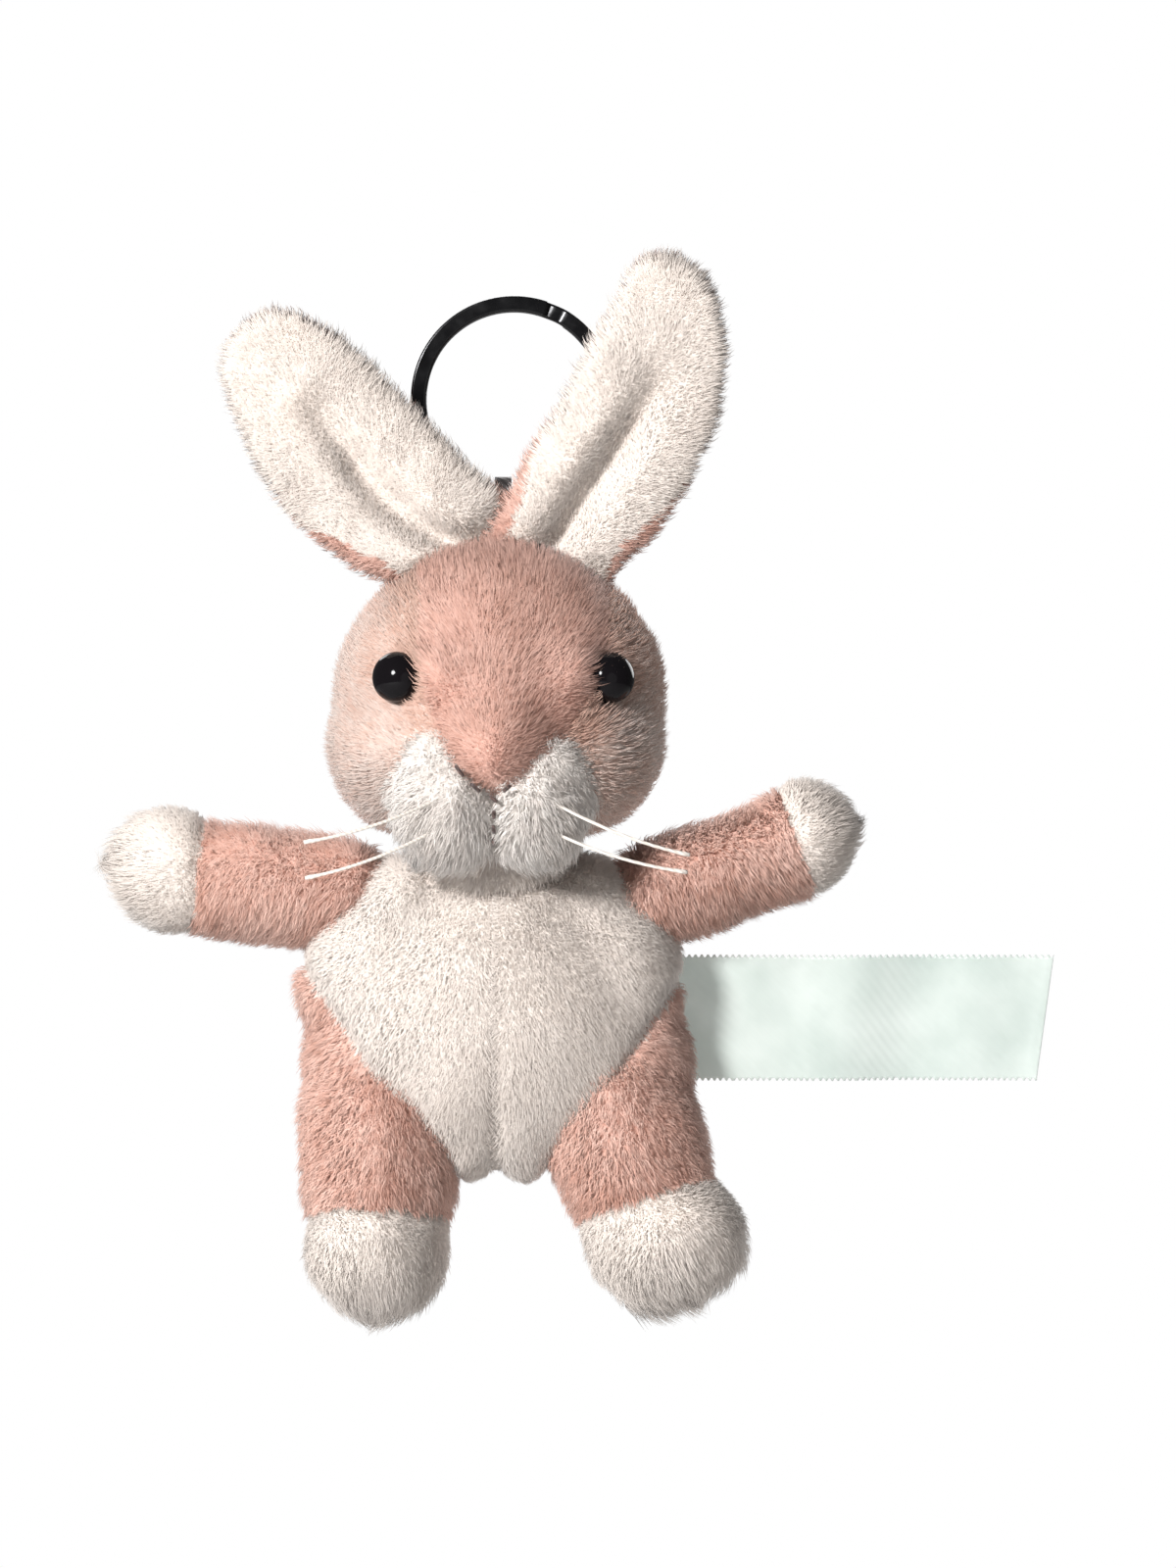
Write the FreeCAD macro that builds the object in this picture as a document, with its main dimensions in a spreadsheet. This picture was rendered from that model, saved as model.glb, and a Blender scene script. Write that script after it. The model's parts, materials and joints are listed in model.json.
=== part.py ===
import FreeCAD, Part
import math
import os

import Sketcher
from FreeCAD import Placement, Rotation, Vector

# A plush rabbit keychain, in millimetres. +Z is up, the face looks towards -Y, and left and right
# are the viewer's. The origin is the place at the crown where the hanging loop holds the split ring.
# Soft skins are closed shells of plush fabric around a stuffing solid. Every moving body is clear
# of its neighbours by the sheet's clearance over its whole travel.

DIMENSIONS = [
    ("fabric", 1.2, "thickness of the plush fabric, with its pile pressed down"),
    ("clearance", 0.35, "space between two bodies that move past each other"),
    ("middle", -0.8, "x of the plush's centre line"),
    ("head_y", -5.0, "centre of the head"),
    ("head_z", -24.0, ""),
    ("head_rx", 19.8, "half sizes of the head"),
    ("head_ry", 17.5, ""),
    ("head_rz", 18.2, ""),
    ("head_seam_y", -1.0, "plane of the seam between the side panels and the back of the head"),
    ("snout_y", -14.0, "centre of the snout that the gusset runs over"),
    ("snout_z", -31.0, ""),
    ("snout_rx", 8.5, "half sizes of the snout"),
    ("snout_ry", 10.0, ""),
    ("snout_rz", 7.5, ""),
    ("gusset_top_left", 9.2, "half widths of the gusset, from the centre line, at the crown"),
    ("gusset_top_right", 13.0, ""),
    ("gusset_eye_left", 7.8, "half widths of the gusset at the eyes"),
    ("gusset_eye_right", 10.6, ""),
    ("gusset_eye_z", -23.5, ""),
    ("gusset_tip_z", -36.4, "lowest point of the gusset, at the nose"),
    ("gusset_left_radius", 16.0, "radii of the gusset's two lower edges"),
    ("gusset_right_radius", 20.0, ""),
    ("lobe_y", -16.5, "centres of the two muzzle lobes"),
    ("lobe_z", -36.2, ""),
    ("lobe_ry", 8.0, "half sizes of the muzzle lobes"),
    ("lobe_rz", 8.4, ""),
    ("lobe_left_rx", 6.2, ""),
    ("lobe_right_rx", 5.6, ""),
    ("eye_left_x", -12.9, "centres of the eyes"),
    ("eye_right_x", 14.0, ""),
    ("eye_z", -21.8, ""),
    ("eye_radius", 3.0, "6 mm safety eyes: dome, flange, post and washer"),
    ("eye_height", 2.3, ""),
    ("eye_post_radius", 0.8, ""),
    ("eye_post_length", 5.5, ""),
    ("washer_radius", 3.4, ""),
    ("washer_thickness", 0.8, ""),
    ("thread_radius", 0.28, "waxed thread of the whiskers"),
    ("stitch_radius", 0.22, "dark thread of the nose"),
    ("ring_outer_radius", 12.5, "25 mm split ring"),
    ("ring_wire_width", 1.9, "width of one turn across the ring"),
    ("ring_wire_thickness", 0.95, "thickness of one turn along the ring's axis"),
    ("ring_turn_gap", 0.05, "gap between the two turns"),
    ("ring_corner", 0.3, "radius on the corners of the wire"),
    ("ring_x", 1.3, "centre of the ring"),
    ("ring_z", 12.3, ""),
    ("ring_step_start", 57.0, "angle from +X, towards +Z, where the front turn steps back"),
    ("ring_step_angle", 13.0, "angle that the step takes"),
    ("ring_slit_angle", 1.0, "angle left open at each end of the wire"),
    ("loop_width", 2.0, "cotton tape of the hanging loop"),
    ("loop_thickness", 0.4, ""),
    ("loop_inner_radius", 1.2, ""),
    ("loop_bend_z", 1.3, "centre of the loop's round top"),
    ("loop_shoulder_z", -1.4, "where the loop's two legs start to close"),
    ("loop_root_z", -6.0, "hinge line of the loop, in the crown seam"),
    ("loop_root_radius", 0.9, ""),
    ("ear_y", -5.5, "hinge lines of the ears, in the crown seams"),
    ("ear_lean", 6.0, "how far the ears lean forward at rest, in degrees"),
    ("ear_base_half", 5.5, "outline of an ear"),
    ("ear_half_width", 8.3, ""),
    ("ear_widest", 21.0, ""),
    ("ear_shoulder", 33.5, ""),
    ("ear_shoulder_half", 5.9, ""),
    ("ear_side_radius", 24.0, ""),
    ("ear_tip_radius", 6.4, ""),
    ("ear_cup_radius", 13.0, "radius of the ear's cupped section"),
    ("ear_root_radius", 2.2, ""),
    ("ear_root_room", 3.0, "space around an ear's root, for the folded ear"),
    ("ear_left_length", 38.5, ""),
    ("ear_left_x", -6.3, ""),
    ("ear_left_z", -6.6, ""),
    ("ear_left_tilt", -37.0, "tilt from upright, to the right, in degrees"),
    ("ear_right_length", 39.5, ""),
    ("ear_right_x", 6.4, ""),
    ("ear_right_z", -6.8, ""),
    ("ear_right_tilt", 21.5, ""),
    ("neck_y", -4.0, "centre of the neck's ball"),
    ("neck_z", -43.3, ""),
    ("neck_radius", 9.0, ""),
    ("chest_y", -3.5, "centre and half sizes of the chest"),
    ("chest_z", -53.0, ""),
    ("chest_rx", 16.0, ""),
    ("chest_ry", 11.0, ""),
    ("chest_rz", 10.3, ""),
    ("belly_y", -4.0, "centre and half sizes of the belly"),
    ("belly_z", -63.2, ""),
    ("belly_rx", 22.3, ""),
    ("belly_ry", 14.0, ""),
    ("belly_rz", 18.6, ""),
    ("side_seam_y", 0.5, "plane of the side seams of the torso"),
    ("tail_y", 9.6, "centre and radius of the tail"),
    ("tail_z", -73.0, ""),
    ("tail_radius", 5.0, ""),
    ("arm_y", -3.0, "shoulders"),
    ("arm_z", -47.5, ""),
    ("arm_left_x", -19.8, ""),
    ("arm_left_length", 20.2, "from the shoulder to the centre of the paw"),
    ("arm_left_root", 7.1, ""),
    ("arm_left_end", 7.2, ""),
    ("arm_left_seam", 16.4, "where the paw is sewn on"),
    ("arm_left_tilt", -84.0, "direction of the arm, from upright, in degrees"),
    ("arm_right_x", 18.6, ""),
    ("arm_right_length", 18.8, ""),
    ("arm_right_root", 6.8, ""),
    ("arm_right_end", 6.5, ""),
    ("arm_right_seam", 17.6, ""),
    ("arm_right_tilt", 71.0, ""),
    ("arm_swing", 27.0, "half angle of the cone that the arms swing in, in degrees"),
    ("arm_room_reach", 12.0, "length of that cone"),
    ("leg_y", -5.0, "hips"),
    ("leg_forward", 63.0, "limits of the space that the legs swing in, in degrees"),
    ("leg_back", 15.0, ""),
    ("leg_room_reach", 24.0, "length of the space that the legs swing in"),
    ("leg_reach", -2.5, "how far forward the feet are of the hips"),
    ("leg_left_x", -14.6, ""),
    ("leg_left_z", -74.0, ""),
    ("leg_left_spread", -0.3, "sideways from the hip to the foot's centre"),
    ("leg_left_drop", 16.0, "down from the hip to the foot's centre"),
    ("leg_left_root", 9.6, ""),
    ("leg_left_end", 8.9, ""),
    ("leg_left_seam", 11.6, "where the foot is sewn on"),
    ("leg_right_x", 13.4, ""),
    ("leg_right_z", -73.0, ""),
    ("leg_right_spread", 5.7, ""),
    ("leg_right_drop", 15.8, ""),
    ("leg_right_root", 9.4, ""),
    ("leg_right_end", 8.8, ""),
    ("leg_right_seam", 11.8, ""),
    ("label_x", 19.9, "hinge line of the label ribbon, in the right side seam"),
    ("label_y", 1.5, ""),
    ("label_top_z", -55.3, ""),
    ("label_width", 15.0, ""),
    ("label_root", 1.9, "length of ribbon inside the seam"),
    ("label_long", 47.0, "length outside the seam, along the upper edge"),
    ("label_short", 44.9, "length outside the seam, along the lower edge"),
    ("label_thickness", 0.3, ""),
    ("label_leg_room", 0.8, "space between the label's corner and the right thigh"),
]

FAR = 80.0

# Whiskers as (root inside the muzzle, middle, tip).
WHISKERS = {
    "whisker_upper_left": [(-7.2, -22.6, -36.0), (-15.2, -26.2, -38.6), (-22.6, -26.0, -41.2)],
    "whisker_lower_left": [(-7.4, -21.6, -39.6), (-15.4, -24.6, -42.2), (-22.5, -24.4, -45.4)],
    "whisker_upper_right": [(6.2, -22.6, -36.4), (14.6, -25.6, -39.7), (22.0, -25.2, -42.7)],
    "whisker_lower_right": [(6.0, -21.2, -39.8), (14.2, -24.2, -43.2), (21.8, -23.8, -44.7)],
}

# Stitches of the nose as (start, end), seen from the front: x and z.
NOSE_STITCHES = [
    ((-4.9, -32.4), (-3.0, -34.6)),
    ((-3.0, -34.6), (-0.9, -36.0)),
    ((-0.7, -36.0), (1.5, -34.6)),
    ((-0.8, -36.2), (-0.8, -38.4)),
    ((-0.8, -39.4), (-0.8, -41.6)),
]
STITCH_Y = -24.1
STITCH_LOW_Y = -23.2

doc = FreeCAD.newDocument("plush_keychain")
nodes = []


# ---- the dimension sheet and the helpers that bind to it ----

def make_sheet():
    sheet = doc.addObject("Spreadsheet::Sheet", "Dimensions")
    for row, (alias, number, note) in enumerate(DIMENSIONS, start=1):
        sheet.set(f"A{row}", alias)
        sheet.set(f"B{row}", str(number))
        sheet.setAlias(f"B{row}", alias)
        sheet.set(f"C{row}", note)
    doc.recompute()
    return sheet


sheet = make_sheet()


def bind(item, prop, expression):
    """Sets a property to an expression in which {alias} is a cell of the sheet."""
    item.setExpression(prop, expression.replace("{", "Dimensions.").replace("}", ""))


def value(expression):
    """What an expression with {alias} comes to now."""
    return float(sheet.evalExpression(expression.replace("{", "").replace("}", "")))


def node(item, label):
    """Marks an object as a sub-part: its Label is the name of its file."""
    item.Label = label
    nodes.append(item)
    return item


def place(item, x="0", y="0", z="0"):
    for axis, expression in zip("xyz", (x, y, z)):
        bind(item, f".Placement.Base.{axis}", expression)
    return item


def turned(item, rotation):
    item.Placement = Placement(item.Placement.Base, rotation)
    return item


# ---- Part primitives and booleans ----

def ellipsoid(name, x, y, z, rx, ry, rz, grow="0"):
    item = doc.addObject("Part::Ellipsoid", name)
    bind(item, "Radius1", f"{rz} + {grow}")
    bind(item, "Radius2", f"{rx} + {grow}")
    bind(item, "Radius3", f"{ry} + {grow}")
    return place(item, x, y, z)


def sphere(name, x, y, z, radius):
    item = doc.addObject("Part::Sphere", name)
    bind(item, "Radius", radius)
    return place(item, x, y, z)


def cylinder(name, radius, length, start, rotation):
    """A cylinder about the local Z axis, centred on start, then turned."""
    item = doc.addObject("Part::Cylinder", name)
    bind(item, "Radius", radius)
    bind(item, "Height", length)
    half = rotation.multVec(Vector(0, 0, -value(length) / 2))
    turned(item, rotation)
    return place(item, f"{start[0]} + {half.x}", f"{start[1]} + {half.y}", f"{start[2]} + {half.z}")


def block(name, low, high):
    """A box from low to high, each three expressions or numbers."""
    item = doc.addObject("Part::Box", name)
    for prop, a, b in zip(("Length", "Width", "Height"), low, high):
        bind(item, prop, f"({b}) - ({a})")
    return place(item, *[str(a) for a in low])


def boolean(kind, name, base, tool):
    item = doc.addObject(kind, name)
    item.Base = base
    item.Tool = tool
    return item


def cut(name, base, tool):
    return boolean("Part::Cut", name, base, tool)


def cut_each(name, base, tools):
    """Cuts the tools from base one after another."""
    for i, tool in enumerate(tools):
        base = cut(f"{name}_{i}", base, tool)
    return base


def common(name, base, tool):
    return boolean("Part::Common", name, base, tool)


def fuse(name, items):
    item = doc.addObject("Part::MultiFuse", name)
    item.Shapes = items
    return item


# ---- PartDesign bodies with constrained sketches ----

def origin_plane(body, role):
    return next(f for f in body.Origin.OriginFeatures if f.Role == role)


def new_sketch(body, name, role="XY_Plane", offset=None):
    sketch = body.newObject("Sketcher::SketchObject", name)
    sketch.AttachmentSupport = (origin_plane(body, role), [""])
    sketch.MapMode = "FlatFace"
    if offset is not None:
        sketch.AttachmentOffset = offset
    return sketch


def arc_through(start, end, radius):
    """The shorter arc from start to end. A positive radius turns left on the way."""
    middle = (start + end) * 0.5
    chord = end - start
    left = Vector(-chord.y, chord.x, 0).normalize()
    rise = math.sqrt(max(radius * radius - (chord.Length / 2) ** 2, 0.0))
    centre = middle + left * math.copysign(rise, radius)
    first = math.atan2(start.y - centre.y, start.x - centre.x)
    last = math.atan2(end.y - centre.y, end.x - centre.x)
    if radius < 0:
        first, last = last, first
    circle = Part.Circle(centre, Vector(0, 0, 1), abs(radius))
    return Part.ArcOfCircle(circle, first, last)


def profile(sketch, corners):
    """A closed outline. Each corner is (x, y, radius): two expressions, and the radius of the arc
    to the next corner, or None for a straight line. Corners and radii are bound to the sheet."""
    points = [Vector(value(x), value(y), 0) for x, y, _ in corners]
    for i, (x, y, radius) in enumerate(corners):
        start, end = points[i], points[(i + 1) % len(points)]
        if radius is None:
            sketch.addGeometry(Part.LineSegment(start, end), False)
            first = 1
        else:
            sketch.addGeometry(arc_through(start, end, value(radius)), False)
            first = 1 if value(radius) > 0 else 2
        for direction, expression, amount in (("X", x, start.x), ("Y", y, start.y)):
            index = sketch.addConstraint(
                Sketcher.Constraint(f"Distance{direction}", -1, 1, i, first, amount))
            sketch.renameConstraint(index, f"corner_{i}_{direction.lower()}")
            bind(sketch, f"Constraints.corner_{i}_{direction.lower()}", expression)
        if radius is not None:
            index = sketch.addConstraint(Sketcher.Constraint("Radius", i, abs(value(radius))))
            sketch.renameConstraint(index, f"radius_{i}")
            bind(sketch, f"Constraints.radius_{i}", f"abs({radius})")
    join_corners(sketch, corners)
    return sketch


def join_corners(sketch, corners):
    for i, (_, _, radius) in enumerate(corners):
        after = (i + 1) % len(corners)
        backwards = radius is not None and value(radius) < 0
        next_radius = corners[after][2]
        next_backwards = next_radius is not None and value(next_radius) < 0
        sketch.addConstraint(Sketcher.Constraint(
            "Coincident", i, 1 if backwards else 2, after, 2 if next_backwards else 1))


def pad(body, sketch, length, symmetric=False, name="Pad"):
    item = body.newObject("PartDesign::Pad", name)
    item.Profile = sketch
    item.SideType = "Symmetric" if symmetric else "One side"
    bind(item, "Length", length)
    return item


def revolve(body, sketch, angle="360", name="Revolution"):
    item = body.newObject("PartDesign::Revolution", name)
    item.Profile = sketch
    item.ReferenceAxis = (sketch, ["V_Axis"])
    bind(item, "Angle", angle)
    return item


def new_body(name):
    return doc.addObject("PartDesign::Body", name)


# ---- head ----

def head_form(name, grow):
    """The head and snout, grown by an amount."""
    skull = ellipsoid(f"{name}_skull", "{middle} + 0.3", "{head_y}", "{head_z}",
                      "{head_rx}", "{head_ry}", "{head_rz}", grow)
    snout = ellipsoid(f"{name}_snout", "{middle} + 0.3", "{snout_y}", "{snout_z}",
                      "{snout_rx}", "{snout_ry}", "{snout_rz}", grow)
    return fuse(name, [skull, snout])


def neck_room(name):
    return sphere(name, "{middle}", "{neck_y}", "{neck_z}", "{neck_radius} + {clearance}")


def head_sockets():
    """What is cut from the head for the neck, the ear roots and the loop's root."""
    tools = [neck_room("socket_neck_in_head")]
    for side in ("left", "right"):
        tools.append(cylinder(
            f"socket_ear_{side}", "{ear_root_radius} + {ear_root_room}", "2 * {ear_base_half} + 2",
            (f"{{ear_{side}_x}}", "{ear_y}", f"{{ear_{side}_z}}"), ear_axis(side)))
    tools.append(cylinder(
        "socket_loop", "{loop_root_radius} + {clearance}", "{loop_width} + 0.8",
        ("0", "0", "{loop_root_z}"), Rotation(Vector(0, 1, 0), 90)))
    return fuse("head_sockets", tools)


def gusset_block():
    """The gusset as seen from the front: wide at the crown, and a point at the nose."""
    body = new_body("gusset_outline")
    sketch = new_sketch(body, "gusset_outline_sketch", "XZ_Plane")
    profile(sketch, [
        ("{middle} - {gusset_top_left}", "0", None),
        ("{middle} - {gusset_eye_left}", "{gusset_eye_z}", "{gusset_left_radius}"),
        ("{middle}", "{gusset_tip_z}", "{gusset_right_radius}"),
        ("{middle} + {gusset_eye_right}", "{gusset_eye_z}", None),
        ("{middle} + {gusset_top_right}", "0", None),
    ])
    pad(body, sketch, str(FAR))
    return body


def eye_position(side):
    """The point of the skull under an eye's centre, and the outward normal there."""
    x = value(f"{{eye_{side}_x}}") - value("{middle} + 0.3")
    z = value("{eye_z} - {head_z}")
    rx, ry, rz = value("{head_rx}"), value("{head_ry}"), value("{head_rz}")
    y = -ry * math.sqrt(1 - (x / rx) ** 2 - (z / rz) ** 2)
    normal = Vector(x / rx ** 2, y / ry ** 2, z / rz ** 2).normalize()
    point = Vector(x + value("{middle} + 0.3"), y + value("{head_y}"), z + value("{head_z}"))
    return point, normal


def eye_placement(side, depth=0.0):
    point, normal = eye_position(side)
    return Placement(point - normal * depth, Rotation(Vector(0, 0, 1), normal))


def make_eye(side):
    """A safety eye: a dome on a thin flange, and a post that goes through the skin."""
    body = new_body(f"eye_{side}_body")
    sketch = new_sketch(body, f"eye_{side}_profile", "XZ_Plane")
    profile(sketch, [
        ("0", "0.1 - {eye_post_length}", None),
        ("{eye_post_radius}", "0.1 - {eye_post_length}", None),
        ("{eye_post_radius}", "0.1", None),
        ("{eye_radius}", "0.1", None),
        ("{eye_radius}", "0.5", "({eye_radius} ^ 2 + {eye_height} ^ 2) / (2 * {eye_height})"),
        ("0", "0.5 + {eye_height}", None),
    ])
    revolve(body, sketch)
    body.Placement = eye_placement(side)
    return node(body, f"eye_{side}")


def make_washer(side):
    """The washer that holds an eye's post behind the skin."""
    body = new_body(f"eye_washer_{side}_body")
    sketch = new_sketch(body, f"eye_washer_{side}_outline")
    for radius in ("{washer_radius}", "{eye_post_radius}"):
        index = sketch.addGeometry(
            Part.Circle(Vector(0, 0, 0), Vector(0, 0, 1), value(radius)), False)
        sketch.addConstraint(Sketcher.Constraint("Coincident", index, 3, -1, 1))
        bound = sketch.addConstraint(Sketcher.Constraint("Radius", index, value(radius)))
        sketch.renameConstraint(bound, f"radius_{index}")
        bind(sketch, f"Constraints.radius_{index}", radius)
    pad(body, sketch, "{washer_thickness}")
    body.Placement = eye_placement(side, value("{fabric} + {washer_thickness} + 0.35"))
    return node(body, f"eye_washer_{side}")


def eye_pocket(side, name, radius, depth):
    item = doc.addObject("Part::Cylinder", name)
    bind(item, "Radius", radius)
    bind(item, "Height", depth)
    item.Placement = eye_placement(side, value(depth) - 1.0)
    return item


def make_head():
    outer = head_form("head_outer", "0")
    inner = head_form("head_inner", "-{fabric}")
    sockets = head_sockets()
    posts = [eye_pocket(s, f"eye_hole_{s}", "{eye_post_radius} + 0.05", "{eye_post_length} - 1.5")
             for s in ("left", "right")]
    pockets = [eye_pocket(s, f"eye_room_{s}", "{washer_radius} + 0.1", "{eye_post_length} + 1.5")
               for s in ("left", "right")]
    shell = cut("head_shell", cut("head_skin", outer, inner), fuse("head_holes", [sockets] + posts))
    front = block("head_front", (-FAR, -FAR, -FAR), (FAR, "{head_seam_y}", FAR))
    gusset = gusset_block()
    node(cut("head_back_panel", shell, front), "head_back")
    face = common("head_face", shell, front)
    node(common("gusset_panel", face, gusset), "head_gusset")
    sides = cut("head_sides", face, gusset)
    left_half = block("head_left_half", (-FAR, -FAR, -FAR), ("{middle}", FAR, FAR))
    node(common("side_left_panel", sides, left_half), "head_side_left")
    node(cut("side_right_panel", sides, left_half), "head_side_right")
    rooms = fuse("stuffing_rooms", [sockets] + pockets)
    node(cut("head_filling", inner, rooms), "head_stuffing")
    for side in ("left", "right"):
        make_eye(side)
        make_washer(side)
    make_muzzle(outer)
    make_nose_stitches()
    make_whiskers()


def make_muzzle(head_outer):
    """Two puffy lobes of long pile, each a skin over its own stuffing, side by side."""
    rooms = [head_outer, neck_room("socket_neck_in_muzzle")]
    for side, sign in (("left", -1), ("right", 1)):
        radius = f"{{lobe_{side}_rx}}"
        centre = (f"{{middle}} + {sign} * ({radius} + 0.05)", "{lobe_y}", "{lobe_z}")
        sizes = (radius, "{lobe_ry}", "{lobe_rz}")
        outer = ellipsoid(f"lobe_{side}_outer", *centre, *sizes)
        inner = ellipsoid(f"lobe_{side}_inner", *centre, *sizes, "-{fabric}")
        skin = cut(f"lobe_{side}_skin", outer, inner)
        node(cut_each(f"lobe_{side}_panel", skin, rooms), f"muzzle_{side}")
        node(cut_each(f"lobe_{side}_filling", inner, rooms), f"muzzle_stuffing_{side}")


def make_nose_stitches():
    """Straight stitches along the lower edges of the gusset and down the mouth seam."""
    radius = value("{stitch_radius}")
    threads = []
    for (x0, z0), (x1, z1) in NOSE_STITCHES:
        y0, y1 = [STITCH_Y if z > -37 else STITCH_LOW_Y for z in (z0, z1)]
        start, end = Vector(x0, y0, z0), Vector(x1, y1, z1)
        threads.append(Part.makeCylinder(radius, (end - start).Length, start, end - start))
        threads.append(Part.makeSphere(radius, start))
        threads.append(Part.makeSphere(radius, end))
    item = doc.addObject("Part::Feature", "nose_thread")
    item.Shape = threads[0].multiFuse(threads[1:])
    node(item, "nose_stitches")


def make_whiskers():
    """Each whisker is a stiff thread bent to one arc, rooted in the muzzle."""
    for label, points in WHISKERS.items():
        root, middle, tip = [Vector(*p) for p in points]
        edge = Part.Arc(root, middle, tip).toShape()
        start = edge.tangentAt(edge.FirstParameter)
        ring = Part.Wire(Part.makeCircle(value("{thread_radius}"), root, start))
        item = doc.addObject("Part::Feature", f"{label}_thread")
        item.Shape = Part.Wire(edge).makePipeShell([ring], True, True)
        node(item, label)


# ---- loop and ring ----

def make_loop():
    """A tape folded round the ring's wire, with its two ends sewn together at the crown."""
    body = new_body("hanging_loop_body")
    outer = new_sketch(body, "loop_outline", "YZ_Plane")
    wide = "({loop_inner_radius} + {loop_thickness})"
    foot = "{loop_root_radius}"
    profile(outer, [
        (f"-{foot}", "{loop_root_z}", foot),
        ("0", f"{{loop_root_z}} - {foot}", foot),
        (foot, "{loop_root_z}", None),
        (wide, "{loop_shoulder_z}", None),
        (wide, "{loop_bend_z}", wide),
        ("0", f"{{loop_bend_z}} + {wide}", wide),
        (f"-{wide}", "{loop_bend_z}", None),
        (f"-{wide}", "{loop_shoulder_z}", None),
    ])
    pad(body, outer, "{loop_width}", symmetric=True)
    inner = new_sketch(body, "loop_opening", "YZ_Plane")
    room = "{loop_inner_radius}"
    profile(inner, [
        ("-0.3", "{loop_root_z} + 1.6", None),
        ("0.3", "{loop_root_z} + 1.6", None),
        (room, "{loop_shoulder_z}", None),
        (room, "{loop_bend_z}", room),
        ("0", f"{{loop_bend_z}} + {room}", room),
        (f"-{room}", "{loop_bend_z}", None),
        (f"-{room}", "{loop_shoulder_z}", None),
    ])
    hole = body.newObject("PartDesign::Pocket", "LoopOpening")
    hole.Profile = inner
    hole.Type = "ThroughAll"
    hole.SideType = "Symmetric"
    return node(body, "hanging_loop")


def ring_section(body, name, angle, y_middle):
    """The wire's rounded section in the plane at an angle from +X towards +Z about the ring's axis."""
    offset = Placement(Vector(0, 0, 0), Rotation(Vector(0, 1, 0), -angle))
    sketch = new_sketch(body, name, "XY_Plane", offset)
    outer, inner = "{ring_outer_radius}", "({ring_outer_radius} - {ring_wire_width})"
    low = f"({y_middle} - {{ring_wire_thickness}} / 2)"
    high = f"({y_middle} + {{ring_wire_thickness}} / 2)"
    corner = "{ring_corner}"
    return profile(sketch, [
        (f"{inner} + {corner}", low, None),
        (f"{outer} - {corner}", low, corner),
        (outer, f"{low} + {corner}", None),
        (outer, f"{high} - {corner}", corner),
        (f"{outer} - {corner}", high, None),
        (f"{inner} + {corner}", high, corner),
        (inner, f"{high} - {corner}", None),
        (inner, f"{low} + {corner}", corner),
    ])


def make_ring():
    """Two flat turns of wire side by side, joined by a short step from the front to the back."""
    body = new_body("split_ring_body")
    shift = "(({ring_wire_thickness} + {ring_turn_gap}) / 2)"
    start = value("{ring_step_start}")
    step = value("{ring_step_angle}")
    one_turn = "360 - {ring_step_angle} - {ring_slit_angle}"
    front = ring_section(body, "front_turn_section", start, f"-{shift}")
    revolve(body, front, one_turn, "FrontTurn")
    between = [
        ring_section(body, f"step_section_{i}", start + step * i / 4,
                     f"-{shift} * {math.cos(math.pi * i / 4)}")
        for i in range(5)
    ]
    joggle = body.newObject("PartDesign::AdditiveLoft", "Step")
    joggle.Profile = between[0]
    joggle.Sections = between[1:]
    back = ring_section(body, "back_turn_section", start - value("{ring_slit_angle}"), shift)
    revolve(body, back, one_turn, "BackTurn")
    place(body, "{ring_x}", "0", "{ring_z}")
    return node(body, "split_ring")


# ---- ears ----

def ear_rotation(side):
    """Leans forward about X, then tilts sideways about Y."""
    lean = Rotation(Vector(1, 0, 0), value("{ear_lean}"))
    tilt = Rotation(Vector(0, 1, 0), value(f"{{ear_{side}_tilt}}"))
    return tilt.multiply(lean)


def ear_axis(side):
    """Turns the local Z axis onto the ear's hinge line."""
    return ear_rotation(side).multiply(Rotation(Vector(0, 1, 0), 90))


def placed_ear(item, side):
    turned(item, ear_rotation(side))
    return place(item, f"{{ear_{side}_x}}", "{ear_y}", f"{{ear_{side}_z}}")


def ear_outline(side):
    """The outline of an ear, as a thick leaf that the cupped layers are cut from."""
    body = new_body(f"ear_{side}_leaf")
    sketch = new_sketch(body, f"ear_{side}_outline", "XZ_Plane")
    length = f"{{ear_{side}_length}}"
    low_radius, tip_radius = "{ear_side_radius} * 1.6", "{ear_tip_radius} * 1.15"
    profile(sketch, [
        ("-{ear_base_half}", "0", None),
        ("{ear_base_half}", "0", low_radius),
        ("{ear_half_width}", "{ear_widest}", "{ear_side_radius}"),
        ("{ear_shoulder_half}", "{ear_shoulder}", tip_radius),
        ("0", length, tip_radius),
        ("-{ear_shoulder_half}", "{ear_shoulder}", "{ear_side_radius}"),
        ("-{ear_half_width}", "{ear_widest}", low_radius),
    ])
    pad(body, sketch, "2 * {ear_cup_radius}", symmetric=True)
    return placed_ear(body, side)


def ear_layer(side, name, inner, outer):
    """A tall tube wall about the cup's axis, between two radii."""
    walls = []
    for part, radius in (("in", inner), ("out", outer)):
        item = doc.addObject("Part::Cylinder", f"{name}_{part}")
        bind(item, "Radius", radius)
        bind(item, "Height", str(FAR))
        rotation = ear_rotation(side)
        start = rotation.multVec(Vector(0, -value("{ear_cup_radius}"), -5))
        turned(item, rotation)
        place(item, f"{{ear_{side}_x}} + {start.x}", f"{{ear_y}} + {start.y}",
              f"{{ear_{side}_z}} + {start.z}")
        walls.append(item)
    return cut(name, walls[1], walls[0])


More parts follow.
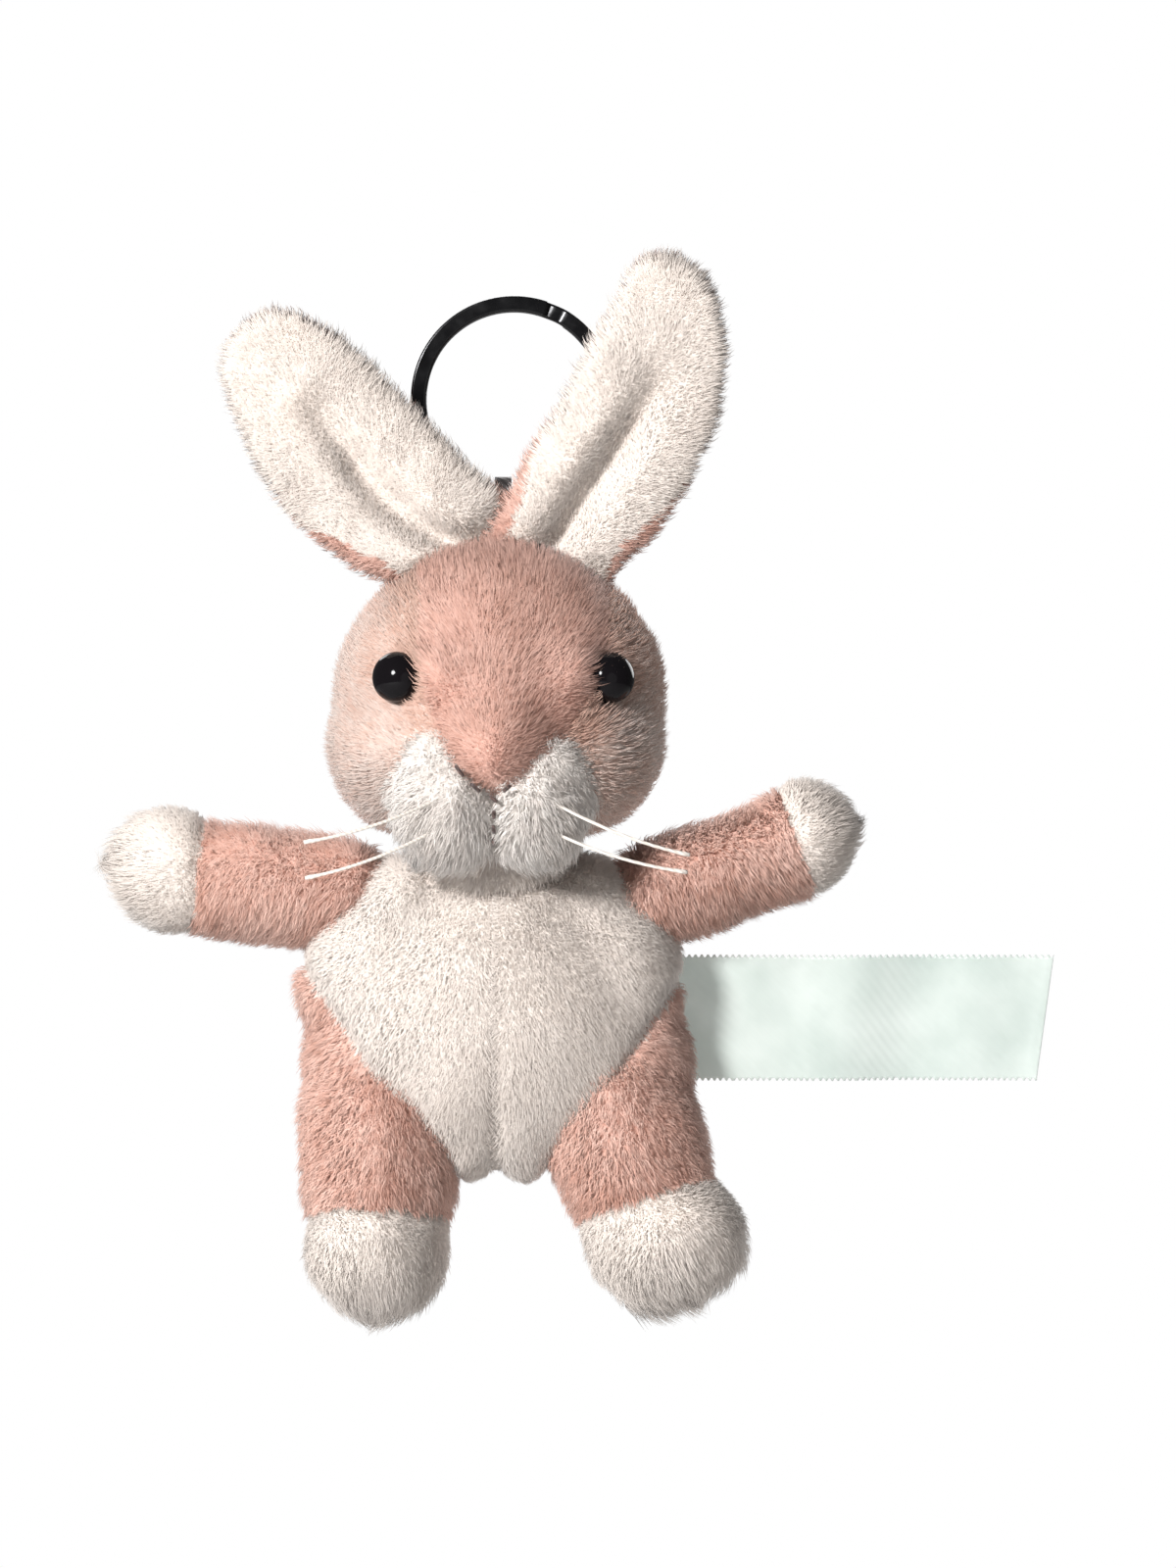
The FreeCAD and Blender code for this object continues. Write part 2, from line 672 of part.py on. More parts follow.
def make_ear(side):
    leaf = ear_outline(side)
    root = cylinder(f"ear_{side}_root", "{ear_root_radius}", "2 * {ear_base_half}",
                    (f"{{ear_{side}_x}}", "{ear_y}", f"{{ear_{side}_z}}"), ear_axis(side))
    fold = "{ear_cup_radius}"
    front = ear_layer(side, f"ear_{side}_front_tube", f"{fold} - {{fabric}}", fold)
    back = ear_layer(side, f"ear_{side}_back_tube", fold, f"{fold} + {{fabric}}")
    lining = common(f"ear_{side}_front_layer", leaf, front)
    node(cut(f"ear_{side}_front_piece", lining, root), f"ear_{side}_lining")
    outside = common(f"ear_{side}_back_layer", leaf, back)
    node(fuse(f"ear_{side}_back_piece", [outside, root]), f"ear_{side}_back")


# ---- limbs ----

def arm_frame(side):
    """The arm's local Z runs from the shoulder to the paw."""
    return Rotation(Vector(0, 1, 0), value(f"{{arm_{side}_tilt}}"))


def leg_vector(side):
    return Vector(value(f"{{leg_{side}_spread}}"), value("{leg_reach}"), -value(f"{{leg_{side}_drop}}"))


def leg_frame(side):
    """The leg's local Z runs from the hip to the foot."""
    return Rotation(Vector(0, 0, 1), leg_vector(side))


def limb_form(name, at, rotation, length, root, end, grow="0"):
    """A stuffed tube with a ball at each end, grown by an amount."""
    ball = sphere(f"{name}_root", *at, f"{root} + {grow}")
    tube = doc.addObject("Part::Cone", f"{name}_tube")
    bind(tube, "Radius1", f"{root} + {grow}")
    bind(tube, "Radius2", f"{end} + {grow}")
    bind(tube, "Height", length)
    turned(tube, rotation)
    place(tube, *at)
    reach = rotation.multVec(Vector(0, 0, value(length)))
    tip = sphere(f"{name}_tip", f"{at[0]} + {reach.x}", f"{at[1]} + {reach.y}", f"{at[2]} + {reach.z}",
                 f"{end} + {grow}")
    return fuse(name, [ball, tube, tip])


def limb_block(name, at, rotation, seam):
    """All that lies before the seam along a limb."""
    item = doc.addObject("Part::Box", name)
    for prop in ("Length", "Width", "Height"):
        bind(item, prop, str(FAR))
    corner = rotation.multVec(Vector(-FAR / 2, -FAR / 2, value(seam) - FAR))
    turned(item, rotation)
    return place(item, f"{at[0]} + {corner.x}", f"{at[1]} + {corner.y}", f"{at[2]} + {corner.z}")


def limb_sizes(limb):
    return [f"{{{limb}_{size}}}" for size in ("root", "end", "seam")]


def limb_length(limb, side):
    if limb == "arm":
        return f"{{arm_{side}_length}}"
    return str(leg_vector(side).Length)


def limb_at(limb, side):
    z = "{arm_z}" if limb == "arm" else f"{{leg_{side}_z}}"
    return (f"{{{limb}_{side}_x}}", f"{{{limb}_y}}", z)


def make_limb(limb, side, end_name):
    """A sleeve, an end cap sewn to it, and the stuffing inside both."""
    name = f"{limb}_{side}"
    rotation = arm_frame(side) if limb == "arm" else leg_frame(side)
    at = limb_at(limb, side)
    root, end, seam = limb_sizes(name)
    length = limb_length(limb, side)
    outer = limb_form(f"{name}_outer", at, rotation, length, root, end)
    inner = limb_form(f"{name}_inner", at, rotation, length, root, end, "-{fabric}")
    skin = cut(f"{name}_skin", outer, inner)
    before = limb_block(f"{name}_before_seam", at, rotation, seam)
    node(common(f"{name}_sleeve_piece", skin, before), f"{name}_sleeve")
    node(cut(f"{name}_end_piece", skin, before), f"{name}_{end_name}")
    node(inner, f"{name}_stuffing")


def arm_room(side):
    """A ball and a widening cone: the space that an arm swings in beside the torso."""
    name = f"arm_{side}"
    at = limb_at("arm", side)
    root = f"({{{name}_root}} + {{clearance}})"
    ball = sphere(f"{name}_room_ball", *at, root)
    cone = doc.addObject("Part::Cone", f"{name}_room_cone")
    bind(cone, "Radius1", root)
    bind(cone, "Radius2", f"{root} + {{arm_room_reach}} * tan({{arm_swing}} * 1deg)")
    bind(cone, "Height", "{arm_room_reach}")
    turned(cone, arm_frame(side))
    return [ball, place(cone, *at)]


def leg_room(side):
    """A ball and a fan: the space that a leg swings in, from its back limit to its front limit."""
    name = f"leg_{side}"
    root = f"({{{name}_root}} + {{clearance}})"
    at = limb_at("leg", side)
    ball = sphere(f"{name}_room_ball", *at, root)
    body = new_body(f"{name}_room_fan")
    sketch = new_sketch(body, f"{name}_room_outline", "YZ_Plane")
    front, back = "({leg_forward} + 2) * 1deg", "({leg_back} + 2) * 1deg"
    reach = "{leg_room_reach}"
    low = f"-({reach} + 2)"
    profile(sketch, [
        ("0", "0", None),
        (f"-{root} * cos({front})", f"{root} * sin({front})", None),
        (f"-{root} * cos({front}) - {reach} * sin({front})",
         f"{root} * sin({front}) - {reach} * cos({front})", None),
        (low, low, None),
        (f"{root} * cos({back}) + {reach} * sin({back})", low, None),
        (f"{root} * cos({back})", f"{root} * sin({back})", None),
    ])
    pad(body, sketch, f"2 * {root}", symmetric=True)
    return [ball, place(body, *at)]


# ---- neck and torso ----

def make_neck():
    centre = ("{middle}", "{neck_y}", "{neck_z}")
    outer = sphere("neck_outer", *centre, "{neck_radius}")
    inner = sphere("neck_inner", *centre, "{neck_radius} - {fabric}")
    node(cut("neck_collar", outer, inner), "neck_skin")
    node(inner, "neck_stuffing")


def torso_form(name, grow):
    chest = ellipsoid(f"{name}_chest", "{middle}", "{chest_y}", "{chest_z}",
                      "{chest_ry}", "{chest_rx}", "{chest_rz}", grow)
    turned(chest, Rotation(Vector(0, 0, 1), 90))
    belly = ellipsoid(f"{name}_belly", "{middle}", "{belly_y}", "{belly_z}",
                      "{belly_rx}", "{belly_ry}", "{belly_rz}", grow)
    return fuse(name, [chest, belly])


def torso_sockets():
    tools = [neck_room("socket_neck_in_torso")]
    for side in ("left", "right"):
        tools += arm_room(side) + leg_room(side)
    tools.append(cylinder("socket_label", "{label_root} + {clearance}", "{label_width} + 0.8",
                          ("{label_x}", "{label_y}", "{label_top_z} - {label_width} / 2"),
                          Rotation()))
    return tools


def make_torso():
    outer = torso_form("torso_outer", "0")
    inner = torso_form("torso_inner", "-{fabric}")
    sockets = torso_sockets()
    shell = cut("torso_shell", cut_each("torso_form", outer, sockets), inner)
    front = block("torso_front", (-FAR, -FAR, -2 * FAR), (FAR, "{side_seam_y}", FAR))
    left_half = block("torso_left_half", (-FAR, -FAR, -2 * FAR), ("{middle} - 0.15", FAR, FAR))
    halves = {"left": common("torso_left_skin", shell, left_half),
              "right": cut("torso_right_skin", shell, left_half)}
    for side, half in halves.items():
        node(common(f"belly_{side}_panel", half, front), f"belly_{side}")
        node(cut(f"back_{side}_panel", half, front), f"back_{side}")
    node(cut_each("torso_filling", inner, sockets), "torso_stuffing")
    ball = sphere("tail_ball", "{middle}", "{tail_y}", "{tail_z}", "{tail_radius}")
    turned(ball, Rotation(Vector(1, 0, 0), 90))
    belly = outer.Shapes[1]
    node(cut("tail_puff", ball, belly), "tail")


def make_label():
    """A blank satin ribbon, cut at a slant, that is sewn into the side seam by its end. Its lower
    inner corner is rounded off beside the right thigh."""
    body = new_body("label_ribbon_body")
    sketch = new_sketch(body, "label_outline", "XZ_Plane")
    profile(sketch, [
        ("-{label_root}", "-{label_width}", None),
        ("{label_short}", "-{label_width}", None),
        ("{label_long}", "0", None),
        ("-{label_root}", "0", None),
    ])
    pad(body, sketch, "{label_thickness}", symmetric=True)
    place(body, "{label_x}", "{label_y}", "{label_top_z}")
    thigh = sphere("label_thigh_room", *limb_at("leg", "right"), "{leg_right_root} + {label_leg_room}")
    return node(cut("label_piece", body, thigh), "label_ribbon")


# ---- the whole object ----

def make_all():
    make_ring()
    make_loop()
    for side in ("left", "right"):
        make_ear(side)
    make_head()
    make_neck()
    make_torso()
    make_label()
    for side in ("left", "right"):
        make_limb("arm", side, "paw")
        make_limb("leg", side, "foot")
    doc.recompute()


def check_all():
    """Stops before anything is written if an object failed or a sub-part isn't a sound solid."""
    failed = [o.Name for o in doc.Objects if "Invalid" in o.State or "Error" in o.State]
    if failed:
        raise RuntimeError(f"failed objects: {failed}")
    for item in nodes:
        shape = item.Shape
        if shape.isNull() or not shape.isValid() or not shape.Solids:
            raise RuntimeError(f"{item.Label} has no valid solid")


def write_all():
    os.makedirs("parts", exist_ok=True)
    for item in nodes:
        item.Shape.exportStep(os.path.join("parts", f"{item.Label}.step"))


make_all()
check_all()
write_all()
print(f"{len(nodes)} sub-parts written")
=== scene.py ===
import json
import math

import bmesh
import bpy
import numpy as np
from mathutils import Matrix, Vector


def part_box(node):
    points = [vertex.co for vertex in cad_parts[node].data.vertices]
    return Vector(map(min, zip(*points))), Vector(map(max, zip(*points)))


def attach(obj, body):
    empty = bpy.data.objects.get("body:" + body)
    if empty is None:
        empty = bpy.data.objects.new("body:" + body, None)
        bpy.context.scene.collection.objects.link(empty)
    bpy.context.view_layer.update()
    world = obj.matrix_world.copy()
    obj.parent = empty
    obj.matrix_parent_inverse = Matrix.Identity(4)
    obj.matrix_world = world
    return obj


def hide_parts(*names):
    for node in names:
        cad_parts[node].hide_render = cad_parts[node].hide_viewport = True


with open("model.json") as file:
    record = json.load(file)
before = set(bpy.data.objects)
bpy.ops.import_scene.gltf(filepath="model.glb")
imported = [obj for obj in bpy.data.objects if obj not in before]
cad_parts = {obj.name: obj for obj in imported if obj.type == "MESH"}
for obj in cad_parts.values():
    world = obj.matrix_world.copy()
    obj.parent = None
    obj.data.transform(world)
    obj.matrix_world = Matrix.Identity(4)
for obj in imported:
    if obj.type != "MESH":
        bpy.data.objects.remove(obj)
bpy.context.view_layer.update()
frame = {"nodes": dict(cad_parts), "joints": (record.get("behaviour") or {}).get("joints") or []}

# A plush rabbit keychain around its CAD frame. Shapes are worked out in millimetres, in the frame's
# axes, and become metres when they become objects. The pile is real strands, grown on the skins.

MM = 0.001
JOINTS = {joint["name"]: np.array(joint["pos_m"]) / MM for joint in frame["joints"]}


def box_mm(node):
    low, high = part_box(node)
    return np.array(low) / MM, np.array(high) / MM


def at(*numbers):
    return np.array(numbers, float)


NECK = JOINTS["neck_nod"]
MIDDLE = NECK[0]
HEAD = NECK + at(0.3, -1.0, 19.3)
BELLY = at(MIDDLE, NECK[1], NECK[2] - 19.9)
SEAM_Y = box_mm("belly_left")[1][1]
HEAD_SEAM_Y = box_mm("head_back")[0][1]
FACE = []  # the points of the head's and the muzzle's skins, for what lies on them


# ---- numbers: smooth noise that needs no texture ----

def hashed(cell, seed):
    """A repeatable number from 0 to 1 for each whole-number cell."""
    mixed = (cell[..., 0] * 73856093) ^ (cell[..., 1] * 19349663) ^ (cell[..., 2] * 83492791)
    mixed = (mixed + seed * 2654435) & 0xFFFFFF
    mixed = (mixed * 1103515245 + 12345) & 0x7FFFFFFF
    mixed ^= mixed >> 13
    mixed = (mixed * 1664525 + 1013904223) & 0x7FFFFFFF
    return mixed / 0x7FFFFFFF


def noise(points, scale, seed):
    """Smooth noise from -1 to 1, with lumps about scale millimetres across."""
    place = np.asarray(points) / scale
    base = np.floor(place).astype(np.int64)
    part = place - base
    part = part * part * (3 - 2 * part)
    total = np.zeros(len(place))
    for corner in np.ndindex(2, 2, 2):
        weight = np.ones(len(place))
        for axis in range(3):
            weight *= part[:, axis] if corner[axis] else 1 - part[:, axis]
        total += weight * hashed(base + np.array(corner), seed)
    return total * 2 - 1


def noise_vector(points, scale, seed):
    return np.stack([noise(points, scale, seed + k) for k in range(3)], 1)


def nearest_tuft(points, size, seed):
    """For each point, the nearest of a jittered lattice of tuft centres, and a number for it."""
    base = np.floor(points / size).astype(np.int64)
    best = np.full(len(points), np.inf)
    centre = np.zeros_like(points)
    label = np.zeros(len(points))
    for step in np.ndindex(3, 3, 3):
        cell = base + np.array(step) - 1
        jitter = np.stack([hashed(cell, seed + k) for k in range(3)], 1)
        spot = (cell + jitter) * size
        distance = ((spot - points) ** 2).sum(1)
        closer = distance < best
        best[closer] = distance[closer]
        centre[closer] = spot[closer]
        label[closer] = hashed(cell, seed + 9)[closer]
    return centre, label


def unit(vectors):
    length = np.linalg.norm(vectors, axis=-1, keepdims=True)
    return vectors / np.maximum(length, 1e-9)


def bump(distance, width):
    return np.exp(-(distance / width) ** 2)


# ---- materials ----

def new_material(name):
    """A material with its nodes, its links and its shader."""
    material = bpy.data.materials.new(name)
    material.use_nodes = True
    nodes, links = material.node_tree.nodes, material.node_tree.links
    return material, nodes, links, nodes["Principled BSDF"]


def set_inputs(node, **values):
    """Sets a node's inputs by name, with underscores for spaces."""
    for name, setting in values.items():
        node.inputs[name.replace("_", " ")].default_value = setting


def new_node(nodes, kind, **values):
    node = nodes.new(kind)
    set_inputs(node, **values)
    return node


def join(links, *rows):
    """Links nodes. A row is a node, its output, the next node and that one's input."""
    for source, output, target, entry in rows:
        links.new(source.outputs[output], target.inputs[entry])


def colour_ramp(nodes, dark, light, low=0.0, high=1.0):
    """A ramp from dark at low to light at high."""
    ramp = nodes.new("ShaderNodeValToRGB")
    for i, (colour, place) in enumerate(((dark, low), (light, high))):
        ramp.color_ramp.elements[i].color = (*colour, 1)
        ramp.color_ramp.elements[i].position = place
    return ramp


def strand_material(name, colour):
    """Polyester fibre of one tint: the pile's colour variation comes from several of these."""
    material, _, _, shader = new_material(name)
    set_inputs(shader, Base_Color=(*colour, 1), Roughness=0.62, Sheen_Weight=0.35,
               Sheen_Roughness=0.4, Specular_IOR_Level=0.25)
    return material


def knit_material(name, light, dark):
    """The knitted backing and the pile's roots: mottled colour, and a fine uneven bump."""
    material, nodes, links, shader = new_material(name)
    set_inputs(shader, Roughness=0.9, Sheen_Weight=0.4)
    place = nodes.new("ShaderNodeTexCoord")
    broad = new_node(nodes, "ShaderNodeTexNoise", Scale=150, Detail=4)
    ramp = colour_ramp(nodes, dark, light, 0.3, 0.7)
    fine = new_node(nodes, "ShaderNodeTexNoise", Scale=1800)
    raised = new_node(nodes, "ShaderNodeBump", Strength=0.6, Distance=0.0004)
    join(links, (place, "Object", broad, "Vector"), (place, "Object", fine, "Vector"),
         (broad, "Fac", ramp, "Fac"), (ramp, "Color", shader, "Base Color"),
         (fine, "Fac", raised, "Height"), (raised, "Normal", shader, "Normal"))
    return material


TINTS = 5


def tints(name, dark, light):
    """Strand materials from dark to light."""
    made = []
    for i in range(TINTS):
        colour = [low + (high - low) * (i / (TINTS - 1)) for low, high in zip(dark, light)]
        made.append(strand_material(f"{name}_{i}", colour))
    return made


def cloth(name, dark, light, slot):
    """The backing and the pile of one plush fabric, and the material slot that it stands for."""
    return knit_material(f"{name}_backing", light, dark), tints(f"{name}_pile", dark, light), slot


CLOTHS = {
    "tan": cloth("tan", (0.54, 0.30, 0.235), (0.75, 0.475, 0.395), "plush_tan"),
    "blush": cloth("blush", (0.60, 0.325, 0.25), (0.86, 0.575, 0.485), "plush_tan"),
    "peach": cloth("peach", (0.61, 0.39, 0.31), (0.69, 0.57, 0.51), "plush_peach"),
    "cream": cloth("cream", (0.765, 0.675, 0.61), (0.84, 0.755, 0.69), "plush_cream"),
    "white": cloth("white", (0.72, 0.65, 0.60), (0.85, 0.80, 0.755), "plush_cream"),
}


# ---- meshes ----

class Form:
    """A surface: points in millimetres, their normals, and its faces as rows of point numbers."""

    def __init__(self, points, faces, normals=None):
        self.points = np.asarray(points, float)
        self.faces = faces
        self.normals = normals if normals is not None else point_normals(self.points, faces)

    def part(self, keep):
        """Only the faces where keep is true."""
        faces = self.faces[keep]
        used, inverse = np.unique(faces, return_inverse=True)
        return Form(self.points[used], inverse.reshape(faces.shape), self.normals[used])

    def centres(self):
        return self.points[self.faces].mean(1)

    def swell(self, amount):
        """Moves each point outwards by its own amount, which may be negative."""
        self.points = self.points + self.normals * amount[:, None]
        self.normals = point_normals(self.points, self.faces)


def point_normals(points, faces):
    a, b, c = (points[faces[:, k]] for k in (0, 1, 2))
    face = np.cross(b - a, c - a)
    if faces.shape[1] == 4:
        d = points[faces[:, 3]]
        face = np.cross(c - a, d - b)
    normals = np.zeros_like(points)
    for k in range(faces.shape[1]):
        np.add.at(normals, faces[:, k], face)
    return unit(normals)


def band(index):
    """The faces between rings of points, whose numbers are the rows of index."""
    low, high = index[:-1], index[1:]
    return np.stack([low, np.roll(low, -1, 1), np.roll(high, -1, 1), high], -1).reshape(-1, 4)


ROUND_SIDES = 48


def add_ball(bm, centre, radii):
    matrix = Matrix.Translation(Vector(centre)) @ Matrix.Diagonal((*radii, 1))
    bmesh.ops.create_uvsphere(bm, u_segments=ROUND_SIDES, v_segments=32, radius=1, matrix=matrix)


def add_tube(bm, start, end, start_radius, end_radius):
    start, end = Vector(start), Vector(end)
    axis = end - start
    turn = axis.to_track_quat("Z", "Y").to_matrix().to_4x4()
    matrix = Matrix.Translation((start + end) / 2) @ turn
    bmesh.ops.create_cone(bm, cap_ends=True, segments=ROUND_SIDES, radius1=start_radius,
                          radius2=end_radius, depth=axis.length, matrix=matrix)


def melted(bm, voxel, passes):
    """The union of what is in bm as one surface, of cells of voxel size, smoothed passes times."""
    mesh = bpy.data.meshes.new("form")
    bm.to_mesh(mesh)
    bm.free()
    source = bpy.data.objects.new("form", mesh)
    bpy.context.scene.collection.objects.link(source)
    remesh = source.modifiers.new("remesh", "REMESH")
    remesh.mode = "VOXEL"
    remesh.voxel_size = voxel
    smooth = source.modifiers.new("smooth", "SMOOTH")
    smooth.factor = 0.5
    smooth.iterations = passes
    graph = bpy.context.evaluated_depsgraph_get()
    result = bpy.data.meshes.new_from_object(source.evaluated_get(graph))
    points = np.zeros(len(result.vertices) * 3)
    result.vertices.foreach_get("co", points)
    corners = np.zeros(len(result.loops), np.int32)
    result.loops.foreach_get("vertex_index", corners)
    sides = np.zeros(len(result.polygons), np.int32)
    result.polygons.foreach_get("loop_total", sides)
    bpy.data.objects.remove(source)
    bpy.data.meshes.remove(mesh)
    bpy.data.meshes.remove(result)
    faces = corners.reshape(-1, 4) if (sides == 4).all() else quads_of(corners, sides)
    return Form(points.reshape(-1, 3), faces)


def quads_of(corners, sides):
    """Faces of three or four corners as rows of four: a triangle repeats its last corner."""
    starts = np.concatenate([[0], np.cumsum(sides)[:-1]])
    rows = [corners[s:s + n] for s, n in zip(starts, sides)]
    return np.array([list(row) + [row[-1]] * (4 - len(row)) for row in rows if len(row) <= 4])


def new_object(name, points, faces, materials, slots=None):
    """An object from points in millimetres, and an array of faces or a list of such arrays."""
    mesh = bpy.data.meshes.new(name)
    groups = faces if isinstance(faces, list) else [faces]
    corners = np.concatenate([group.reshape(-1) for group in groups]).astype(np.int32)
    sides = np.concatenate([np.full(len(group), group.shape[1]) for group in groups]).astype(np.int32)
    mesh.vertices.add(len(points))
    mesh.vertices.foreach_set("co", (np.asarray(points) * MM).astype(np.float32).reshape(-1))
    mesh.loops.add(len(corners))
    mesh.loops.foreach_set("vertex_index", corners)
    mesh.polygons.add(len(sides))
    starts = np.concatenate([[0], np.cumsum(sides)[:-1]]).astype(np.int32)
    mesh.polygons.foreach_set("loop_start", starts)
    mesh.polygons.foreach_set("loop_total", sides)
    for material in materials:
        mesh.materials.append(material)
    if slots is not None:
        mesh.polygons.foreach_set("material_index", slots.astype(np.int32))
    mesh.polygons.foreach_set("use_smooth", np.full(len(sides), True))
    mesh.update()
    mesh.validate()
    made = bpy.data.objects.new(name, mesh)
    bpy.context.scene.collection.objects.link(made)
    return made


def thickened(form, thickness):
    """A closed shell: the form, a copy moved inwards, and a rim between them."""
    count = len(form.points)
    inner = form.points - form.normals * thickness
    points = np.concatenate([form.points, inner])
    flipped = form.faces[:, ::-1] + count
    sides = form.faces.shape[1]
    edges = np.concatenate([form.faces[:, [k, (k + 1) % sides]] for k in range(sides)])
    edges = edges[edges[:, 0] != edges[:, 1]]
    keys = np.sort(edges, 1)
    _, first, counts = np.unique(keys, axis=0, return_index=True, return_counts=True)
    border = edges[first[counts == 1]]
    rim = np.stack([border[:, 1], border[:, 0], border[:, 0] + count, border[:, 1] + count], 1)
    return points, np.concatenate([form.faces, flipped, rim])


# ---- pile ----

UNDERCOAT_RADIUS = 0.085
UNDERCOAT_SHARE = 0.72  # of the pile's length
UNDERCOAT_HAIRS = 24.0  # to the square millimetre
HAIR_RADIUS = 0.055
STRAY = 0.2  # how far each hair leans its own way
ROOTED = 0.2  # how deep the roots are in the cloth, in millimetres


def scattered(form, density, rng):
    """Points spread evenly over a form, with their normals."""
    triangles = form.faces
    if triangles.shape[1] == 4:
        triangles = np.concatenate([triangles[:, [0, 1, 2]], triangles[:, [0, 2, 3]]])
    a, b, c = (form.points[triangles[:, k]] for k in range(3))
    area = np.linalg.norm(np.cross(b - a, c - a), axis=1) / 2
    count = int(area.sum() * density)
    pick = rng.choice(len(triangles), count, p=area / area.sum())
    u, v = rng.random(count), rng.random(count)
    flip = u + v > 1
    u[flip], v[flip] = 1 - u[flip], 1 - v[flip]
    weights = (1 - u - v, u, v)
    corners = triangles[pick]
    points = sum(w[:, None] * form.points[corners[:, k]] for k, w in enumerate(weights))
    normals = sum(w[:, None] * form.normals[corners[:, k]] for k, w in enumerate(weights))
    return points, unit(normals)


def corners_around(centres, along, normals, radius):
    """The three corners of a fibre at each centre."""
    across = unit(np.cross(along, normals + 0.01))
    over = np.cross(along, across)
    corners = []
    for k in range(3):
        angle = 2 * math.pi * k / 3 + 0.5
        side = across * math.cos(angle) + over * math.sin(angle)
        corners.append(centres + side * radius[:, None])
    return corners


def shaded(normals, radial, ruffled):
    """The normals that fibres are shaded with: the skin's, turned towards their own sides."""
    skin = np.repeat(normals, len(radial) // len(normals), axis=0)
    return unit(skin * (1 - ruffled * 0.6) + unit(radial) * ruffled)


def spikes(roots, tips, normals, radius, slots, ruffled):
    """Straight three-sided fibres: vertices, faces, tints and shading normals."""
    count = len(roots)
    along = unit(tips - roots)
    corners = corners_around(roots, along, normals, radius)
    vertices = np.stack(corners + [tips], 1).reshape(-1, 3)
    first = (np.arange(count) * 4)[:, None]
    faces = np.concatenate([first + np.array([[k, (k + 1) % 3, 3]]) for k in range(3)])
    radial = vertices - np.repeat(roots, 4, axis=0)
    radial[3::4] = along
    return vertices, faces, np.tile(slots, 3), shaded(normals, radial, ruffled)


def hairs(roots, middles, tips, normals, radius, slots, ruffled):
    """Three-sided hairs with one bend, thinner there: as spikes, but with two kinds of faces."""
    count = len(roots)
    along = unit(tips - roots)
    corners = corners_around(roots, along, normals, radius)
    corners += corners_around(middles, along, normals, radius * 0.85)
    vertices = np.stack(corners + [tips], 1).reshape(-1, 3)
    first = (np.arange(count) * 7)[:, None]
    quads = np.concatenate([first + np.array([[k, (k + 1) % 3, 3 + (k + 1) % 3, 3 + k]])
                            for k in range(3)])
    tops = np.concatenate([first + np.array([[3 + k, 3 + (k + 1) % 3, 6]]) for k in range(3)])
    radial = vertices - np.stack([roots] * 3 + [middles] * 3 + [tips - along], 1).reshape(-1, 3)
    return vertices, quads, tops, np.tile(slots, 3), shaded(normals, radial, ruffled)


def combed(points, normals, length, lean, comb, tuft, gather, mess, seed, rng, stretch):
    """Where the middles and tips of hairs end up, and how light each is."""
    count = len(points)
    way = comb(points, normals) if callable(comb) else np.tile(at(*comb), (count, 1))
    way = way - normals * (way * normals).sum(1, keepdims=True)
    way = unit(way) + noise_vector(points, 5.0, seed + 20) * mess
    sizes = length * (0.75 + 0.4 * rng.random(count)) * (1 + 0.15 * noise(points, 4.0, seed + 30))
    if stretch is not None:
        sizes = sizes * stretch(points)
    loose = rng.normal(size=(count, 3)) * STRAY
    tips = points + unit(normals + way * lean + loose) * sizes[:, None]
    centre, label = nearest_tuft(points, tuft, seed + 40)
    goal = centre + unit(normals + way * lean) * (sizes * 0.97)[:, None]
    pull = gather * (0.5 + 0.5 * rng.random(count)) * np.minimum(1, sizes / 1.2)
    tips = tips + (goal - tips) * pull[:, None]
    middles = points + unit(normals * 1.3 + way * lean * 0.6 + loose) * (sizes * 0.5)[:, None]
    middles = middles + (tips - points) * 0.12
    light = 0.5 + (label - 0.5) * 0.35 + (rng.random(count) - 0.5) * 0.5
    light = light + noise(points, 7.0, seed + 50) * 0.25
    return middles, tips, light


def grow(name, form, cloth, seed, density=1.0, length=1.8, lean=0.8, comb=(0, 0, -1), tuft=1.3,
         gather=0.45, mess=0.35, keep=None, shade=None, stretch=None, over=7.0, ruffled=0.25):
    """Pile on a form: a dense short undercoat, and longer bent hairs, over of them to the square
    millimetre. comb is the way it lies, a vector or a function of points and normals, and mess how
    far it strays from that in patches. gather is how far the tips draw together in tufts that are
    tuft millimetres apart. ruffled is how much each hair is shaded by its own sides rather than
    by the skin. keep, shade and stretch are functions of points: where hairs grow, how much
    lighter they are, and how many times longer."""
    rng = np.random.default_rng(seed)
    _, materials, _ = CLOTHS[cloth]
    coats = []
    for thick, share, amount in ((UNDERCOAT_RADIUS, UNDERCOAT_SHARE, UNDERCOAT_HAIRS),
                                 (HAIR_RADIUS, 1.0, over)):
        points, normals = scattered(form, density * amount, rng)
        if keep is not None:
            kept = keep(points)
            points, normals = points[kept], normals[kept]
        middles, tips, light = combed(points, normals, length * share, lean, comb, tuft, gather,
                                      mess, seed, rng, stretch)
        if shade is not None:
            light = light + shade(points)
        slots = np.clip((light * len(materials)).astype(int), 0, len(materials) - 1)
        radius = thick * (0.75 + 0.5 * rng.random(len(points)))
        coats.append((points - normals * ROOTED, middles, tips, normals, radius, slots))
    roots, _, tips, normals, radius, slots = coats[0]
    vertices, faces, tint, shown = spikes(roots, tips, normals, radius, slots, ruffled)
    bent, quads, tops, bent_tint, bent_shown = hairs(*coats[1], ruffled)
    start = len(vertices)
    made = new_object(name, np.concatenate([vertices, bent]),
                      [faces, quads + start, tops + start], materials,
                      np.concatenate([tint, bent_tint, bent_tint]))
    made.data.normals_split_custom_set_from_vertices(np.concatenate([shown, bent_shown]))
    return made


# ---- finished pieces ----

